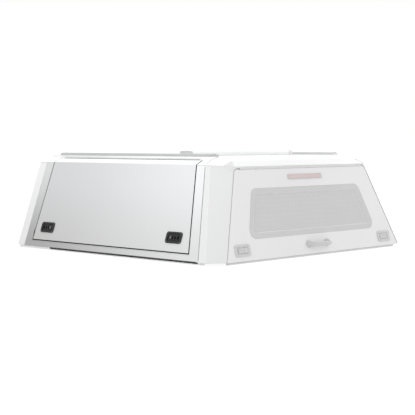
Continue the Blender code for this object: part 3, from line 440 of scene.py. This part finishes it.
for word, coat in rail_coats.items():
    node = "roof_rail_" + word
    dressed(node, coat, 0.0006)
    rail_low, rail_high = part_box(node)
    bolts = bmesh.new()
    for step in range(bolt_count):
        share = end_share + (1 - 2 * end_share) * step / (bolt_count - 1)
        along = rail_low.y + (rail_high.y - rail_low.y) * share
        spot = Vector(((rail_low.x + rail_high.x) / 2, along, rail_high.z - slot_depth))
        turned(bolts, spot, Vector((0.0, 0.0, 1.0)), bolt_profile, segments=6)
    piece(node + "_bolts", bolts, bolt_steel, "shell")

# Cross bar. A low rounded bar between the rails, painted as the roof, with moulded end caps
# held by one screw each.


def screw(mesh, base, axis, radius, tall):
    """A domed screw head with a socket in it."""
    turned(mesh, base, axis, [
        (0.0, -tall * 0.3), (radius, -tall * 0.3), (radius, tall * 0.35),
        (radius * 0.82, tall * 0.85), (radius * 0.42, tall), (radius * 0.40, tall * 0.3),
        (0.0, tall * 0.3)])


bar_paint = finish_of("bar_paint", (0.870, 0.895, 0.883), (0.890, 0.915, 0.903),
                      roughness=0.32, mottle=1.0, grain=650.0, bump=0.05, spread=0.03, coat=0.3)
# Both end caps are one plastic; the left is made darker and the right paler: painted shade and
# painted light for how each meets the light.
cap_plastics = {
    "left": finish_of("cap_plastic_left", (0.56, 0.565, 0.57), (0.60, 0.605, 0.61),
                      roughness=0.50, mottle=8.0, grain=1500.0, bump=0.2),
    "right": finish_of("cap_plastic_right", (0.75, 0.755, 0.76), (0.79, 0.795, 0.80),
                       roughness=0.50, mottle=8.0, grain=1500.0, bump=0.2),
}
dressed("roof_cross_bar", bar_paint, 0.0008)
cap_screw_radius, cap_screw_tall = 0.005, 0.0012
for word, plastic in cap_plastics.items():
    node = "roof_bar_cap_" + word
    dressed(node, plastic, 0.0010)
    cap_low, cap_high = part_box(node)
    spot = (cap_low + cap_high) / 2
    spot.z = cap_high.z - cap_screw_tall
    head = bmesh.new()
    screw(head, spot, Vector((0.0, 0.0, 1.0)), cap_screw_radius, cap_screw_tall)
    piece(node + "_screw", head, bolt_steel, "shell")

# Side doors. Bent steel pans that hang from a long piano hinge, riveted along the roof's edge,
# and swing up like wings. Two pressed ribs stiffen each skin. A black gasket lies in the gap
# beside the frame's painted flange, and black rubber lips are pressed onto the door's edges.

# The side doors' paint carries painted shade, darker towards the foot and the front, and a painted
# highlight over the bend.
door_paint = paint_light_and_shade(
    finish_of("door_paint", (0.98, 0.985, 0.99), (1.0, 1.0, 1.0), roughness=0.36, mottle=0.9,
              grain=700.0, bump=0.05, spread=0.03, coat=0.25),
    front_low=(0.445, 0.447, 0.441), front_high=(0.535, 0.540, 0.549),
    rear_low=(0.586, 0.595, 0.585), rear_high=(0.676, 0.682, 0.697), crown=(0.84, 0.845, 0.85))
# The gasket's front top length is the same black rubber made grey: painted light, so the gap's
# shade there reads pale.
gasket_grey_painted_light = finish_of("gasket_grey_painted_light", (0.66, 0.66, 0.66), (0.70, 0.70, 0.70), roughness=0.60,
                        mottle=9.0, grain=900.0, bump=0.4)
leaf_metal = finish_of("leaf_metal", (0.42, 0.42, 0.42), (0.48, 0.48, 0.48), roughness=0.40,
                       mottle=8.0, grain=900.0, bump=0.2)
hinge_metal = finish_of("hinge_metal", (0.020, 0.020, 0.020), (0.030, 0.030, 0.030),
                        roughness=0.45, mottle=8.0, grain=900.0, bump=0.2)


def piano_hinge(node, finish, body, axis, knuckle=0.058, space=0.0012, chamfer=0.0003):
    """Rolled knuckles on one pin, in place of a CAD barrel."""
    low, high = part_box(node)
    middle = (low + high) / 2
    length = (high - low).dot(axis)
    radius = (high.z - low.z) / 2
    count = int(length / (knuckle + space))
    pitch = length / count
    end = pitch - space
    mesh = bmesh.new()
    for step in range(count):
        turned(mesh, middle + axis * (step * pitch - length / 2), axis,
               [(0.0, 0.0), (radius * 0.9, 0.0), (radius, chamfer), (radius, end - chamfer),
                (radius * 0.9, end), (0.0, end)], segments=12)
    turned(mesh, middle - axis * length / 2, axis,
           [(0.0, 0.0), (radius * 0.5, 0.0), (radius * 0.5, length), (0.0, length)], segments=8)
    piece(node + "_knuckles", mesh, finish, body, [node])


gap_half = 0.0045
crown_short = 0.006
near, deep, wide = -0.0004, -0.0100, 0.0042
worn, sunk = 0.0003, 0.0006
gasket_end = -wide * 0.25
flange_end, flange_clear = -0.0046, 0.0002
leaf_wide, leaf_thick, leaf_root, leaf_slope, leaf_in = 0.0115, 0.0008, -0.0004, 0.0006, 0.0004
leaf_section = [(0.0, leaf_root), (0.0, leaf_thick), (leaf_wide - leaf_slope, leaf_thick),
                (leaf_wide, leaf_thick / 4), (leaf_wide, leaf_root)]
rivet_count = 18
rivet_profile = [(0.0, -0.0002), (0.0019, -0.0002), (0.0016, 0.0005), (0.0, 0.0008)]
lip_slope, lip_proud, lip_root, rear_lip, front_lip = 0.0006, 0.0004, -0.002, 0.0064, 0.0046
lip_head = 0.985
rib_foot, rib_crest, skin, rib_deep = 0.032, 0.018, 0.0034, 0.016
rib_low, rib_high = 0.10, 0.93
for word, outside in sides:
    door = "side_door_" + word
    dressed(door, door_paint, 0.0, word + "_door", fold=0.005)
    piano_hinge("side_door_hinge_" + word, hinge_metal, "shell", Vector((0.0, 1.0, 0.0)))
    corner = {}
    for end, way in (("rear", -1), ("front", 1)):
        corner[end] = [far(door, outside, way, -1), far(door, outside * 0.9, way * 0.3, 1),
                       far(door, -outside * 0.6, way * 0.3, 1)]
    rear_low, rear_bend, rear_top = corner["rear"]
    front_low, front_bend = corner["front"][:2]
    wall_up = rear_bend - rear_low
    roof_run = rear_top - rear_bend
    wall_out = outward_of(wall_up, outside)
    roof_out = outward_of(roof_run, outside)
    bend_out = (wall_out + roof_out).normalized()

    route = []
    for end, way, order in (("rear", -1, (2, 1, 0)), ("front", 1, (0, 1, 2))):
        for level in order:
            shift = Vector((0.0, way * gap_half, 0.0))
            if level == 0:
                shift -= (wall_up / wall_up.z) * gap_half
            if level == 2:
                shift -= roof_run.normalized() * crown_short
            route.append(corner[end][level] + shift)
    facing = [roof_out, bend_out, wall_out, wall_out, bend_out, roof_out]
    doorward = 1 if Vector((0.0, 0.0, -1.0)).cross(wall_out).y > 0 else -1
    gasket_section = [(x * doorward, up) for x, up in (
        (gasket_end, deep), (gasket_end, near - worn), (gasket_end * 0.8, near), (0.0, near),
        (wide * 0.25, near - sunk), (wide * 0.5, near), (wide * 0.9, near), (wide, near - worn),
        (wide, deep))]
    flange_edge = gasket_end - flange_clear
    flange_section = [(x * doorward, up) for x, up in (
        (flange_end, deep), (flange_end, near), (flange_edge, near), (flange_edge, deep))]
    swept("door_gap_flange_" + word, route[1:5], flange_section, frame_paint, "shell",
          "door_paint", outward=facing[1:5])
    swept("door_gap_gasket_" + word, route[:5], gasket_section, black_rubber, "shell",
          "black_rubber", smooth=50.0, outward=facing[:5])
    # Painted light: the gasket's front top length is grey where the rest of the rubber is black.
    swept("door_gap_gasket_front_" + word, route[4:], gasket_section, gasket_grey_painted_light, "shell",
          "black_rubber", smooth=50.0, outward=facing[4:])

    for end, lip_wide, lip_line in (
            ("rear", rear_lip, [rear_low + wall_up * lip_head, rear_low]),
            ("front", front_lip, [rear_low, front_low, front_low + wall_up * lip_head])):
        lip_section = [(x * doorward, up) for x, up in (
            (-lip_slope, lip_root), (-lip_slope, lip_proud / 4), (0.0, lip_proud),
            (lip_wide - lip_slope, lip_proud), (lip_wide, 0.0), (lip_wide, -lip_slope))]
        swept("door_edge_lip_" + end + "_" + word, lip_line, lip_section, black_rubber,
              word + "_door", "black_rubber", outward=wall_out)

    hinge_low, hinge_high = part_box("side_door_hinge_" + word)
    barrel_x = (hinge_low.x + hinge_high.x) / 2
    roof_edge = min((vertex.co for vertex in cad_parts["roof_panel"].data.vertices),
                    key=lambda spot: math.hypot(spot.x - barrel_x, spot.z - hinge_high.z))
    plateau_edge = far("roof_panel", outside * 0.2, 0.0, 1.0)
    climb = Vector((plateau_edge.x - roof_edge.x, 0.0, plateau_edge.z - roof_edge.z)).normalized()
    leaf_out = Vector((outside * climb.z, 0.0, abs(climb.x)))
    leaf_ends = [Vector((roof_edge.x, y, roof_edge.z)) + climb * leaf_in
                 for y in (hinge_low.y, hinge_high.y)]
    leaf = bmesh.new()
    sweep(leaf, leaf_ends, [(-outside * x, up) for x, up in leaf_section], outward=leaf_out)
    for step in range(rivet_count):
        spot = leaf_ends[0].lerp(leaf_ends[1], (step + 0.5) / rivet_count)
        spot += climb * leaf_wide / 2 + leaf_out * leaf_thick
        turned(leaf, spot, leaf_out, rivet_profile, segments=10)
    piece("side_hinge_leaf_" + word, leaf, leaf_metal, "shell")

    ribs = bmesh.new()
    for share in (0.30, 0.70):
        low = rear_low.lerp(front_low, share)
        high = rear_bend.lerp(front_bend, share)
        rings = []
        for level in (rib_low, rib_high):
            spot = low.lerp(high, level)
            rings.append([ribs.verts.new(spot + Vector((0.0, along, 0.0)) - wall_out * depth)
                          for along, depth in ((-rib_foot, skin), (-rib_crest, rib_deep),
                                               (rib_crest, rib_deep), (rib_foot, skin))])
        for j in range(4):
            k = (j + 1) % 4
            ribs.faces.new((rings[0][j], rings[0][k], rings[1][k], rings[1][j]))
        ribs.faces.new(rings[0])
        ribs.faces.new(rings[1])
    stiffeners = piece("door_ribs_" + word, ribs, door_paint, word + "_door")
    rounding = stiffeners.modifiers.new("edge", "BEVEL")
    rounding.width = 0.003
    rounding.segments = 3

# Latches. Moulded housings let into the doors. Each carries a paddle with three slots, which
# turns on a steel pin, a key barrel at the end towards the door's middle, and four screws.


def face_frame(node):
    """The middle of a node's outer face, with its level, upward and outward directions."""
    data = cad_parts[node].data
    low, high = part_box(node)
    middle = (low + high) / 2
    rear_reach = 0.68
    away = Vector((middle.x, 0.0, 0.0) if abs(middle.x) > rear_reach else (0.0, middle.y, 0.0))
    out = Vector()
    for face in data.polygons:
        if face.normal.dot(away.normalized()) > 0.8:
            out += face.normal * face.area
    out.normalize()
    across = Vector((0.0, 0.0, 1.0)).cross(out).normalized()
    up = out.cross(across)

    def centre(way):
        reach = [vertex.co.dot(way) for vertex in data.vertices]
        return (min(reach) + max(reach)) / 2
    reach = max(vertex.co.dot(out) for vertex in data.vertices)
    return across * centre(across) + up * centre(up) + out * reach, across, up, out


def slotted_paddle(name, node, finish, slot_finish, body, inner):
    """A plate with three slots cut through it, rounded at its edges and turning on a pin."""
    spot, across, up, out = face_frame(node)
    wide, tall, thick = 0.036, 0.0135, 0.003
    slot_wide, slot_tall = 0.0052, 0.0092
    backing = bmesh.new()
    back_wide, back_tall, back_near, back_far = wide - 0.004, slot_tall + 0.002, -0.0010, -0.0018
    sweep(backing, [spot - across * back_wide, spot + across * back_wide],
          [(-back_tall, back_far), (back_tall, back_far), (back_tall, back_near),
           (-back_tall, back_near)], outward=out)
    piece(name + "_backing", backing, slot_finish, body)
    breaks = [-wide]
    for middle in (-0.0295, -0.0100, 0.0095):
        breaks += [middle - slot_wide, middle + slot_wide]
    breaks = [value * inner for value in breaks + [wide]]
    levels = [-tall, -slot_tall, slot_tall, tall]
    mesh = bmesh.new()
    grid = [[mesh.verts.new(spot - out * thick / 2 + across * x + up * z) for x in breaks]
            for z in levels]
    for row in range(3):
        for column in range(len(breaks) - 1):
            if row == 1 and column in (1, 3, 5):
                continue
            mesh.faces.new((grid[row][column], grid[row][column + 1], grid[row + 1][column + 1],
                            grid[row + 1][column]))
    pin_radius, pin_half, pin_drop = 0.0018, wide + 0.0057, 0.003
    turned(mesh, spot - out * pin_radius + up * (tall - pin_drop) - across * pin_half, across,
           [(0.0, 0.0), (pin_radius, 0.0), (pin_radius, 2 * pin_half), (0.0, 2 * pin_half)],
           segments=10)
    made = piece(name, mesh, finish, body, [node])
    plate = made.modifiers.new("plate", "SOLIDIFY")
    plate.thickness = thick * 0.9
    plate.offset = 0.0
    rounding = made.modifiers.new("edge", "BEVEL")
    rounding.width = 0.0006
    rounding.segments = 2


def latch(word, door, body, finishes):
    """A latch in a door: housing, ledge behind the paddle, paddle, four screws and key barrel."""
    plastic, pocket, slots, metal = finishes
    housing = "latch_housing_" + word
    spot, across, up, out = face_frame(housing)
    made = dressed(housing, plastic, 0.0010, body, segments=3)
    made.data.materials.append(pocket)
    # Faces deep in the pocket take the pocket finish: painted shade in the black latches' recess,
    # painted light in the pale ones.
    pocket_depth = 0.006
    for face in made.data.polygons:
        if (face.center - spot).dot(out) < -pocket_depth:
            face.material_index = 1
    door_low, door_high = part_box(door)
    inner = math.copysign(1.0, ((door_low + door_high) / 2 - spot).dot(across))
    paddle_spot, across, up, out = face_frame("latch_paddle_" + word)

    ledge = bmesh.new()
    ledge_wide, ledge_tall, step_wide, step_tall = 0.0420, 0.0190, 0.0368, 0.0140
    rims = [(ledge_wide, ledge_tall, -0.0076), (ledge_wide, ledge_tall, -0.0042),
            (step_wide, step_tall, -0.0034), (step_wide, step_tall, -0.0066)]
    rings = [[ledge.verts.new(spot + across * x * a + up * z * b + out * depth)
              for a, b in ((-1, -1), (1, -1), (1, 1), (-1, 1))] for x, z, depth in rims]
    ledge.faces.new(rings[0])
    ledge.faces.new(rings[-1])
    for low_ring, high_ring in zip(rings, rings[1:]):
        for step in range(4):
            after = (step + 1) % 4
            ledge.faces.new((low_ring[step], low_ring[after], high_ring[after], high_ring[step]))
    piece("latch_ledge_" + word, ledge, plastic, body)
    slotted_paddle("latch_paddle_" + word + "_plate", "latch_paddle_" + word, plastic, slots,
                   "paddle_" + word, inner)

    heads = bmesh.new()
    screw_x, screw_z, screw_radius, screw_tall = 0.0490, 0.0225, 0.0034, 0.0009
    for x in (-screw_x, screw_x):
        for z in (-screw_z, screw_z):
            screw(heads, spot + across * x + up * z, out, screw_radius, screw_tall)
    piece("latch_screws_" + word, heads, metal, body)
    barrel = bmesh.new()
    key_off = 0.0235
    key_profile = [(0.0, -0.0020), (0.0072, -0.0020), (0.0072, 0.0008), (0.0066, 0.0014),
                   (0.0054, 0.0014), (0.0050, 0.0006), (0.0010, 0.0006), (0.0008, -0.0008),
                   (0.0, -0.0008)]
    turned(barrel, paddle_spot + across * inner * key_off, out, key_profile, segments=24)
    piece("latch_key_" + word, barrel, metal, "paddle_" + word)


latch_plastic = finish_of("latch_plastic", (0.015, 0.015, 0.016), (0.022, 0.022, 0.023),
                          roughness=0.45, mottle=12.0, grain=1600.0, bump=0.25, specular=0.25)
# The black latches' pocket and slot backing: the same plastic made darker and duller, painted shade
# in the recess.
latch_pocket_painted_shade = finish_of("latch_pocket_painted_shade", (0.004, 0.004, 0.004), (0.007, 0.007, 0.007),
                         roughness=0.80, mottle=12.0, grain=1600.0, bump=0.25, specular=0.05)
pale_plastic = finish_of("pale_plastic", (0.545, 0.545, 0.545), (0.58, 0.58, 0.58),
                         roughness=0.45, mottle=12.0, grain=1600.0, bump=0.25)
# The pale latches' pocket: the same plastic made paler, painted light in the recess's shade.
pale_pocket_painted_light = finish_of("pale_pocket_painted_light", (0.76, 0.765, 0.77), (0.80, 0.805, 0.81),
                        roughness=0.55, mottle=12.0, grain=1600.0, bump=0.25)
pale_slot = finish_of("pale_slot", (0.55, 0.55, 0.55), (0.59, 0.59, 0.59), roughness=0.55,
                      mottle=12.0, grain=1600.0, bump=0.25)
pale_metal = finish_of("pale_metal", (0.57, 0.57, 0.57), (0.61, 0.61, 0.61), roughness=0.35,
                       mottle=40.0, grain=900.0, bump=0.1)
key_steel = finish_of("key_steel", (0.09, 0.09, 0.09), (0.12, 0.12, 0.12), roughness=0.30,
                      mottle=60.0, grain=900.0, bump=0.1)
side_finishes = (latch_plastic, latch_pocket_painted_shade, latch_pocket_painted_shade, key_steel)
rear_finishes = (pale_plastic, pale_pocket_painted_light, pale_slot, pale_metal)
for word in ("left", "right"):
    for end in ("front", "rear"):
        latch("side_" + word + "_" + end, "side_door_" + word, word + "_door", side_finishes)
    latch("rear_" + word, "rear_door", "rear_door", rear_finishes)

# Rear door. A flat steel pan with rounded upper corners, hung from a piano hinge along its top
# edge. A pale gasket lies in the gap round it, and a rubber bulb hangs under it in a channel.

rear_paint = finish_of("rear_paint", (0.710, 0.710, 0.710), (0.736, 0.736, 0.736),
                       roughness=0.32, mottle=1.3, grain=650.0, bump=0.05, spread=0.03, coat=0.3)
pale_rubber = finish_of("pale_rubber", (0.62, 0.62, 0.62), (0.66, 0.66, 0.66), roughness=0.60,
                        mottle=9.0, grain=900.0, bump=0.4)
# The gap's gasket is the rear rubber made paler: painted light in the gap's shade.
gap_rubber_painted_light = finish_of("gap_rubber_painted_light", (0.68, 0.68, 0.68), (0.72, 0.72, 0.72), roughness=0.60,
                       mottle=9.0, grain=900.0, bump=0.4)
hinge_pale = finish_of("hinge_pale", (0.67, 0.67, 0.67), (0.71, 0.71, 0.71), roughness=0.45,
                       mottle=8.0, grain=900.0, bump=0.2)
dressed("rear_door", rear_paint, 0.0, "rear_door")
piano_hinge("rear_door_hinge", hinge_pale, "shell", Vector((1.0, 0.0, 0.0)))

rear_foot = far("rear_door", 1.0, -0.05, -0.3)
rear_head = far("rear_door", 0.9, -0.05, 0.45)
rear_up = Vector((0.0, rear_head.y - rear_foot.y, rear_head.z - rear_foot.z)).normalized()
rear_out = rear_up.cross(Vector((-1.0, 0.0, 0.0)))
edge_normal = math.atan2(rear_foot.x - rear_head.x, rear_head.z - rear_foot.z)
rear_gap = 0.0035


def rear_edge(angle):
    """A point of the gap's middle line beside the rear door's edge that faces an angle."""
    way = Vector((math.cos(angle), 0.0, 0.0)) + rear_up * math.sin(angle)
    return far("rear_door", math.cos(angle), -0.05, math.sin(angle)) + way * rear_gap


right_half = [rear_foot + Vector((rear_gap, 0.0, 0.0))]
corner_steps, margin = 6, 0.02
for step in range(corner_steps + 1):
    turn = (math.pi / 2 - edge_normal - 2 * margin) * step / corner_steps
    right_half.append(rear_edge(edge_normal + margin + turn))
rear_route = right_half + [Vector((-spot.x, spot.y, spot.z)) for spot in reversed(right_half)]
near, deep, wide, worn = -0.0042, -0.0120, 0.0030, 0.001
swept("rear_gap_gasket", rear_route,
      [(-wide, deep), (-wide, near - worn), (-wide * 0.6, near), (wide * 0.6, near),
       (wide, near - worn), (wide, deep)], gap_rubber_painted_light, "shell", "black_rubber", smooth=50.0,
      outward=rear_out)

strip_low, strip_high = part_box("rear_door_bottom_seal")
strip_tall = strip_high.z - strip_low.z
strip_half = (strip_high.y - strip_low.y) / 2
strip_y = (strip_low.y + strip_high.y) / 2
nick_top, nick_middle, nick_foot, nick_deep = 0.70, 0.64, 0.58, 0.001
bulb_top, bulb_steps = 0.35, 8
bulb_section = [(-strip_half, strip_tall), (-strip_half, strip_tall * nick_top),
                (-strip_half + nick_deep, strip_tall * nick_middle),
                (-strip_half, strip_tall * nick_foot)]
for step in range(bulb_steps + 1):
    bend = math.pi * step / bulb_steps
    bulb_section.append((-strip_half * math.cos(bend),
                         strip_tall * bulb_top * (1 - math.sin(bend))))
bulb_section += [(strip_half, strip_tall * nick_foot), (strip_half, strip_tall)]
swept("rear_door_bottom_bulb", [Vector((x, strip_y, strip_low.z))
                                for x in (strip_high.x, 0.0, strip_low.x)],
      bulb_section, pale_rubber, "rear_door", "black_rubber", ["rear_door_bottom_seal"],
      smooth=25.0)

door_foot = far("rear_door", 1.0, -0.3, -1.0)
clip_up, clip_root, clip_thick, clip_slope = 0.0038, -0.0004, 0.0012, 0.0008
channel = bmesh.new()
ends = [Vector((way * strip_high.x, rear_foot.y, door_foot.z)) for way in (1, -1)]
sweep(channel, ends, [(clip_root, 0.0), (clip_thick, 0.0), (clip_thick, clip_up * 0.8),
                      (clip_slope, clip_up), (clip_root, clip_up)])
web = [Vector((way * strip_high.x, (rear_foot.y + strip_low.y) / 2, strip_high.z))
       for way in (1, -1)]
web_half = (strip_low.y - rear_foot.y) / 2 + clip_thick
web_low, web_high = -0.0003, 0.0005
sweep(channel, web, [(-web_half, web_low), (web_half, web_low), (web_half, web_high),
                     (-web_half, web_high)])
piece("rear_door_seal_channel", channel, pale_rubber, "rear_door")

# Windows. Tinted glass, printed with rows of fine dots, in a broad rubber surround. A thin pale
# bead locks the glass into the rubber. The unseen front window repeats the rear one.

window_rubber = finish_of("window_rubber", (0.532, 0.532, 0.532), (0.552, 0.552, 0.552),
                          roughness=0.55, mottle=5.0, grain=900.0, bump=0.2)
window_bead = finish_of("window_bead", (0.60, 0.60, 0.60), (0.63, 0.63, 0.63), roughness=0.50,
                        mottle=9.0, grain=900.0, bump=0.2)
window_glass = finish_of("window_glass", (0.536, 0.535, 0.536), (0.556, 0.555, 0.556),
                         roughness=0.16, mottle=6.0, grain=50.0, bump=0.0, spread=0.02)


def dotted(made, pitch, radius, shade):
    """Rows of round dots, each row set off from the last by half a pitch, printed over a finish."""
    nodes, links = made.node_tree.nodes, made.node_tree.links
    colour = nodes["Principled BSDF"].inputs["Base Color"]
    ground = colour.links[0].from_socket
    place = nodes.new("ShaderNodeTexCoord")
    rows = pitch * math.sqrt(3)

    def math_of(kind, source, value=None):
        node = nodes.new("ShaderNodeVectorMath")
        node.operation = kind
        links.new(source, node.inputs[0])
        if value:
            node.inputs[1].default_value = value
        return node.outputs["Value" if kind == "LENGTH" else "Vector"]

    def reach(offset):
        scaled = math_of("MULTIPLY", place.outputs["Object"], (1 / pitch, 0.0, 1 / rows))
        moved = math_of("ADD", scaled, (offset, 0.5, offset))
        centred = math_of("SUBTRACT", math_of("FRACTION", moved), (0.5, 0.5, 0.5))
        return math_of("LENGTH", math_of("MULTIPLY", centred, (pitch, 0.0, rows)))
    nearest = nodes.new("ShaderNodeMath")
    nearest.operation = "MINIMUM"
    links.new(reach(0.0), nearest.inputs[0])
    links.new(reach(0.5), nearest.inputs[1])
    mask = nodes.new("ShaderNodeMapRange")
    mask.inputs["From Min"].default_value = radius * 1.15
    mask.inputs["From Max"].default_value = radius * 0.85
    links.new(nearest.outputs[0], mask.inputs["Value"])
    mix = nodes.new("ShaderNodeMix")
    mix.data_type = "RGBA"
    links.new(mask.outputs["Result"], mix.inputs[0])
    links.new(ground, mix.inputs[6])
    mix.inputs[7].default_value = (*shade, 1.0)
    links.new(mix.outputs[2], colour)


def rim_of(node):
    """The corner points of a flat node's outer face, in order round its middle."""
    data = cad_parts[node].data
    low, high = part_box(node)
    middle = (low + high) / 2
    across, up, out = face_frame(node)[1:]
    reach = max(vertex.co.dot(out) for vertex in data.vertices)
    outer = {}
    for vertex in data.vertices:
        if vertex.co.dot(out) > reach - 0.0002:
            offset = vertex.co - middle
            outer[round(math.atan2(offset.dot(up), offset.dot(across)), 4)] = vertex.co.copy()
    return [outer[angle] for angle in sorted(outer)], out


dotted(window_glass, pitch=0.028, radius=0.0105, shade=(0.529, 0.529, 0.529))
glass_bead_section = [(0.0012, 0.0015), (0.0012, 0.0032), (-0.0008, 0.0034), (-0.0050, 0.0010),
                      (-0.0056, -0.001)]
for end, body in (("rear", "rear_door"), ("front", "shell")):
    dressed(end + "_window_seal", window_rubber, 0.0010, body)
    dressed(end + "_window_glass", window_glass, 0.0004, body)
    rim, out = rim_of(end + "_window_glass")
    swept(end + "_window_bead", rim, glass_bead_section, window_bead, body, "black_rubber",
          smooth=50.0, outward=out, closed=True)

# Brake lamp. A long red lens with fine upright flutes inside it, set in a shallow housing and
# closed by a grey moulded cap at its right end.

lamp_red = finish_of("lamp_red", (0.579, 0.469, 0.461), (0.608, 0.500, 0.492), roughness=0.20,
                     mottle=9.0, grain=300.0, bump=0.1, coat=0.5)
lamp_shell = finish_of("lamp_shell", (0.55, 0.545, 0.555), (0.60, 0.595, 0.605), roughness=0.40,
                       mottle=9.0, grain=900.0, bump=0.2)
dressed("brake_lamp_housing", lamp_shell, 0.0010, "rear_door")
dressed("brake_lamp_lens", lamp_red, 0.0008, "rear_door")
lens_spot, across, up, out = face_frame("brake_lamp_lens")
lens_low, lens_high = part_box("brake_lamp_lens")
flute_count, flute_half, flute_tall, flute_proud, flute_sunk = 44, 0.0022, 0.0085, 0.0009, 0.0006
flute_margin = 0.007
flute_section = [(-flute_half, 0.0), (-flute_half * 0.5, flute_proud),
                 (flute_half * 0.5, flute_proud), (flute_half, 0.0)]
fluted = lens_high.x - lens_low.x - 2 * flute_margin
flutes = bmesh.new()
for step in range(flute_count):
    x = (step - (flute_count - 1) / 2) * fluted / flute_count
    ends = [lens_spot + across * x + up * z - out * flute_sunk for z in (-flute_tall, flute_tall)]
    sweep(flutes, ends, flute_section, outward=out)
piece("brake_lamp_flutes", flutes, lamp_red, "rear_door", smooth=60.0)
cap_half, cap_tall, cap_root, cap_proud = 0.0055, flute_tall + 0.0022, -0.003, 0.0006
cap_x = (lens_high.x - lens_low.x) / 2 - cap_half * 0.8
swept("brake_lamp_end_cap", [lens_spot + across * cap_x + up * z for z in (-cap_tall, cap_tall)],
      [(-cap_half, cap_root), (-cap_half, cap_proud), (cap_half, cap_proud), (cap_half, cap_root)],
      lamp_shell, "rear_door", "black_plastic", outward=out)

# Pull handle. A bow of moulded plastic on two round feet.
# The bow is thicker than its feet, so that it fills the hand.

handle_plastic = finish_of("handle_plastic", (0.51, 0.51, 0.51), (0.55, 0.55, 0.55),
                           roughness=0.40, mottle=12.0, grain=1600.0, bump=0.2)
handle = dressed("rear_handle", handle_plastic, 0.0, "rear_door")
handle_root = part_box("rear_handle")[1].y
bow, foot_depth = 0.003, 0.004
for vertex, normal in [(item, item.normal.copy()) for item in handle.data.vertices]:
    if vertex.co.y < handle_root - foot_depth:
        vertex.co += Vector((normal.x, 0.0, normal.z)) * bow

# Studio. A plain pale floor that gives back its light, an even white surround, and soft lamps
# over the roof and beside the rear end of each side door.

floor_half, floor_drop = 60.0, 0.0005
floor_mesh = bmesh.new()
bmesh.ops.create_grid(floor_mesh, x_segments=1, y_segments=1, size=floor_half)
floor_data = bpy.data.meshes.new("studio_floor")
floor_mesh.to_mesh(floor_data)
floor_mesh.free()
floor = bpy.data.objects.new("studio_floor", floor_data)
bpy.context.scene.collection.objects.link(floor)
floor.location.z = cad_low.z - floor_drop
floor_paint = finish_of("floor_paint", (0.20, 0.20, 0.20), (0.22, 0.22, 0.22), roughness=0.95,
                        mottle=0.5, grain=5.0, bump=0.0, spread=0.02)
floor_shader = floor_paint.node_tree.nodes["Principled BSDF"]
floor_shader.inputs["Emission Color"].default_value = (1.0, 1.0, 1.0, 1.0)
floor_shader.inputs["Emission Strength"].default_value = 0.85
floor_data.materials.append(floor_paint)
floor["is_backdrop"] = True

world = bpy.data.worlds.new("studio")
bpy.context.scene.world = world
world.use_nodes = True
world.node_tree.nodes["Background"].inputs["Color"].default_value = (1.0, 1.0, 1.0, 1.0)
world.node_tree.nodes["Background"].inputs["Strength"].default_value = 1.0


def soft_lamp(name, spot, target, size, power):
    """A round soft lamp at a spot, turned to a target."""
    lamp = bpy.data.lights.new(name, "AREA")
    lamp.shape = "DISK"
    lamp.size = size
    lamp.energy = power
    made = bpy.data.objects.new(name, lamp)
    made.location = spot
    made.rotation_euler = (Vector(target) - Vector(spot)).to_track_quat("-Z", "Y").to_euler()
    bpy.context.scene.collection.objects.link(made)
    made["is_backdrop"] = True


soft_lamp("top_lamp", spot=(-0.5, 2.0, 3.6), target=(0.0, 0.0, 0.5), size=2.5, power=43.0)
for outside in (-1, 1):
    soft_lamp("door_lamp", spot=(outside * 1.9, -0.75, 1.25), target=(outside * 0.7, -0.45, 0.3),
              size=0.8, power=5.0)

# Camera. A long lens at the photograph's place, fitted to points read off the photo: behind the
# canopy's left rear corner, a little above its roof and hardly rolled.

azimuth, elevation, roll = math.radians(-45.953), math.radians(3.3885), math.radians(-0.153)
photo_width = 415
focal_px = 1147.27
back = Vector((math.sin(azimuth) * math.cos(elevation), -math.cos(azimuth) * math.cos(elevation),
               math.sin(elevation)))
camera_data = bpy.data.cameras.new("photo_camera")
camera_data.sensor_width = 36.0
camera_data.lens = camera_data.sensor_width * focal_px / photo_width
camera = bpy.data.objects.new("photo_camera", camera_data)
bpy.context.scene.collection.objects.link(camera)
camera.location = (-4.7907, -4.62315, 0.6181)
look = (-back).to_track_quat("-Z", "Y").to_matrix().to_4x4() @ Matrix.Rotation(roll, 4, "Z")
camera.rotation_euler = look.to_euler()
bpy.context.scene.camera = camera
bpy.context.scene.view_settings.view_transform = "Standard"

low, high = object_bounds()
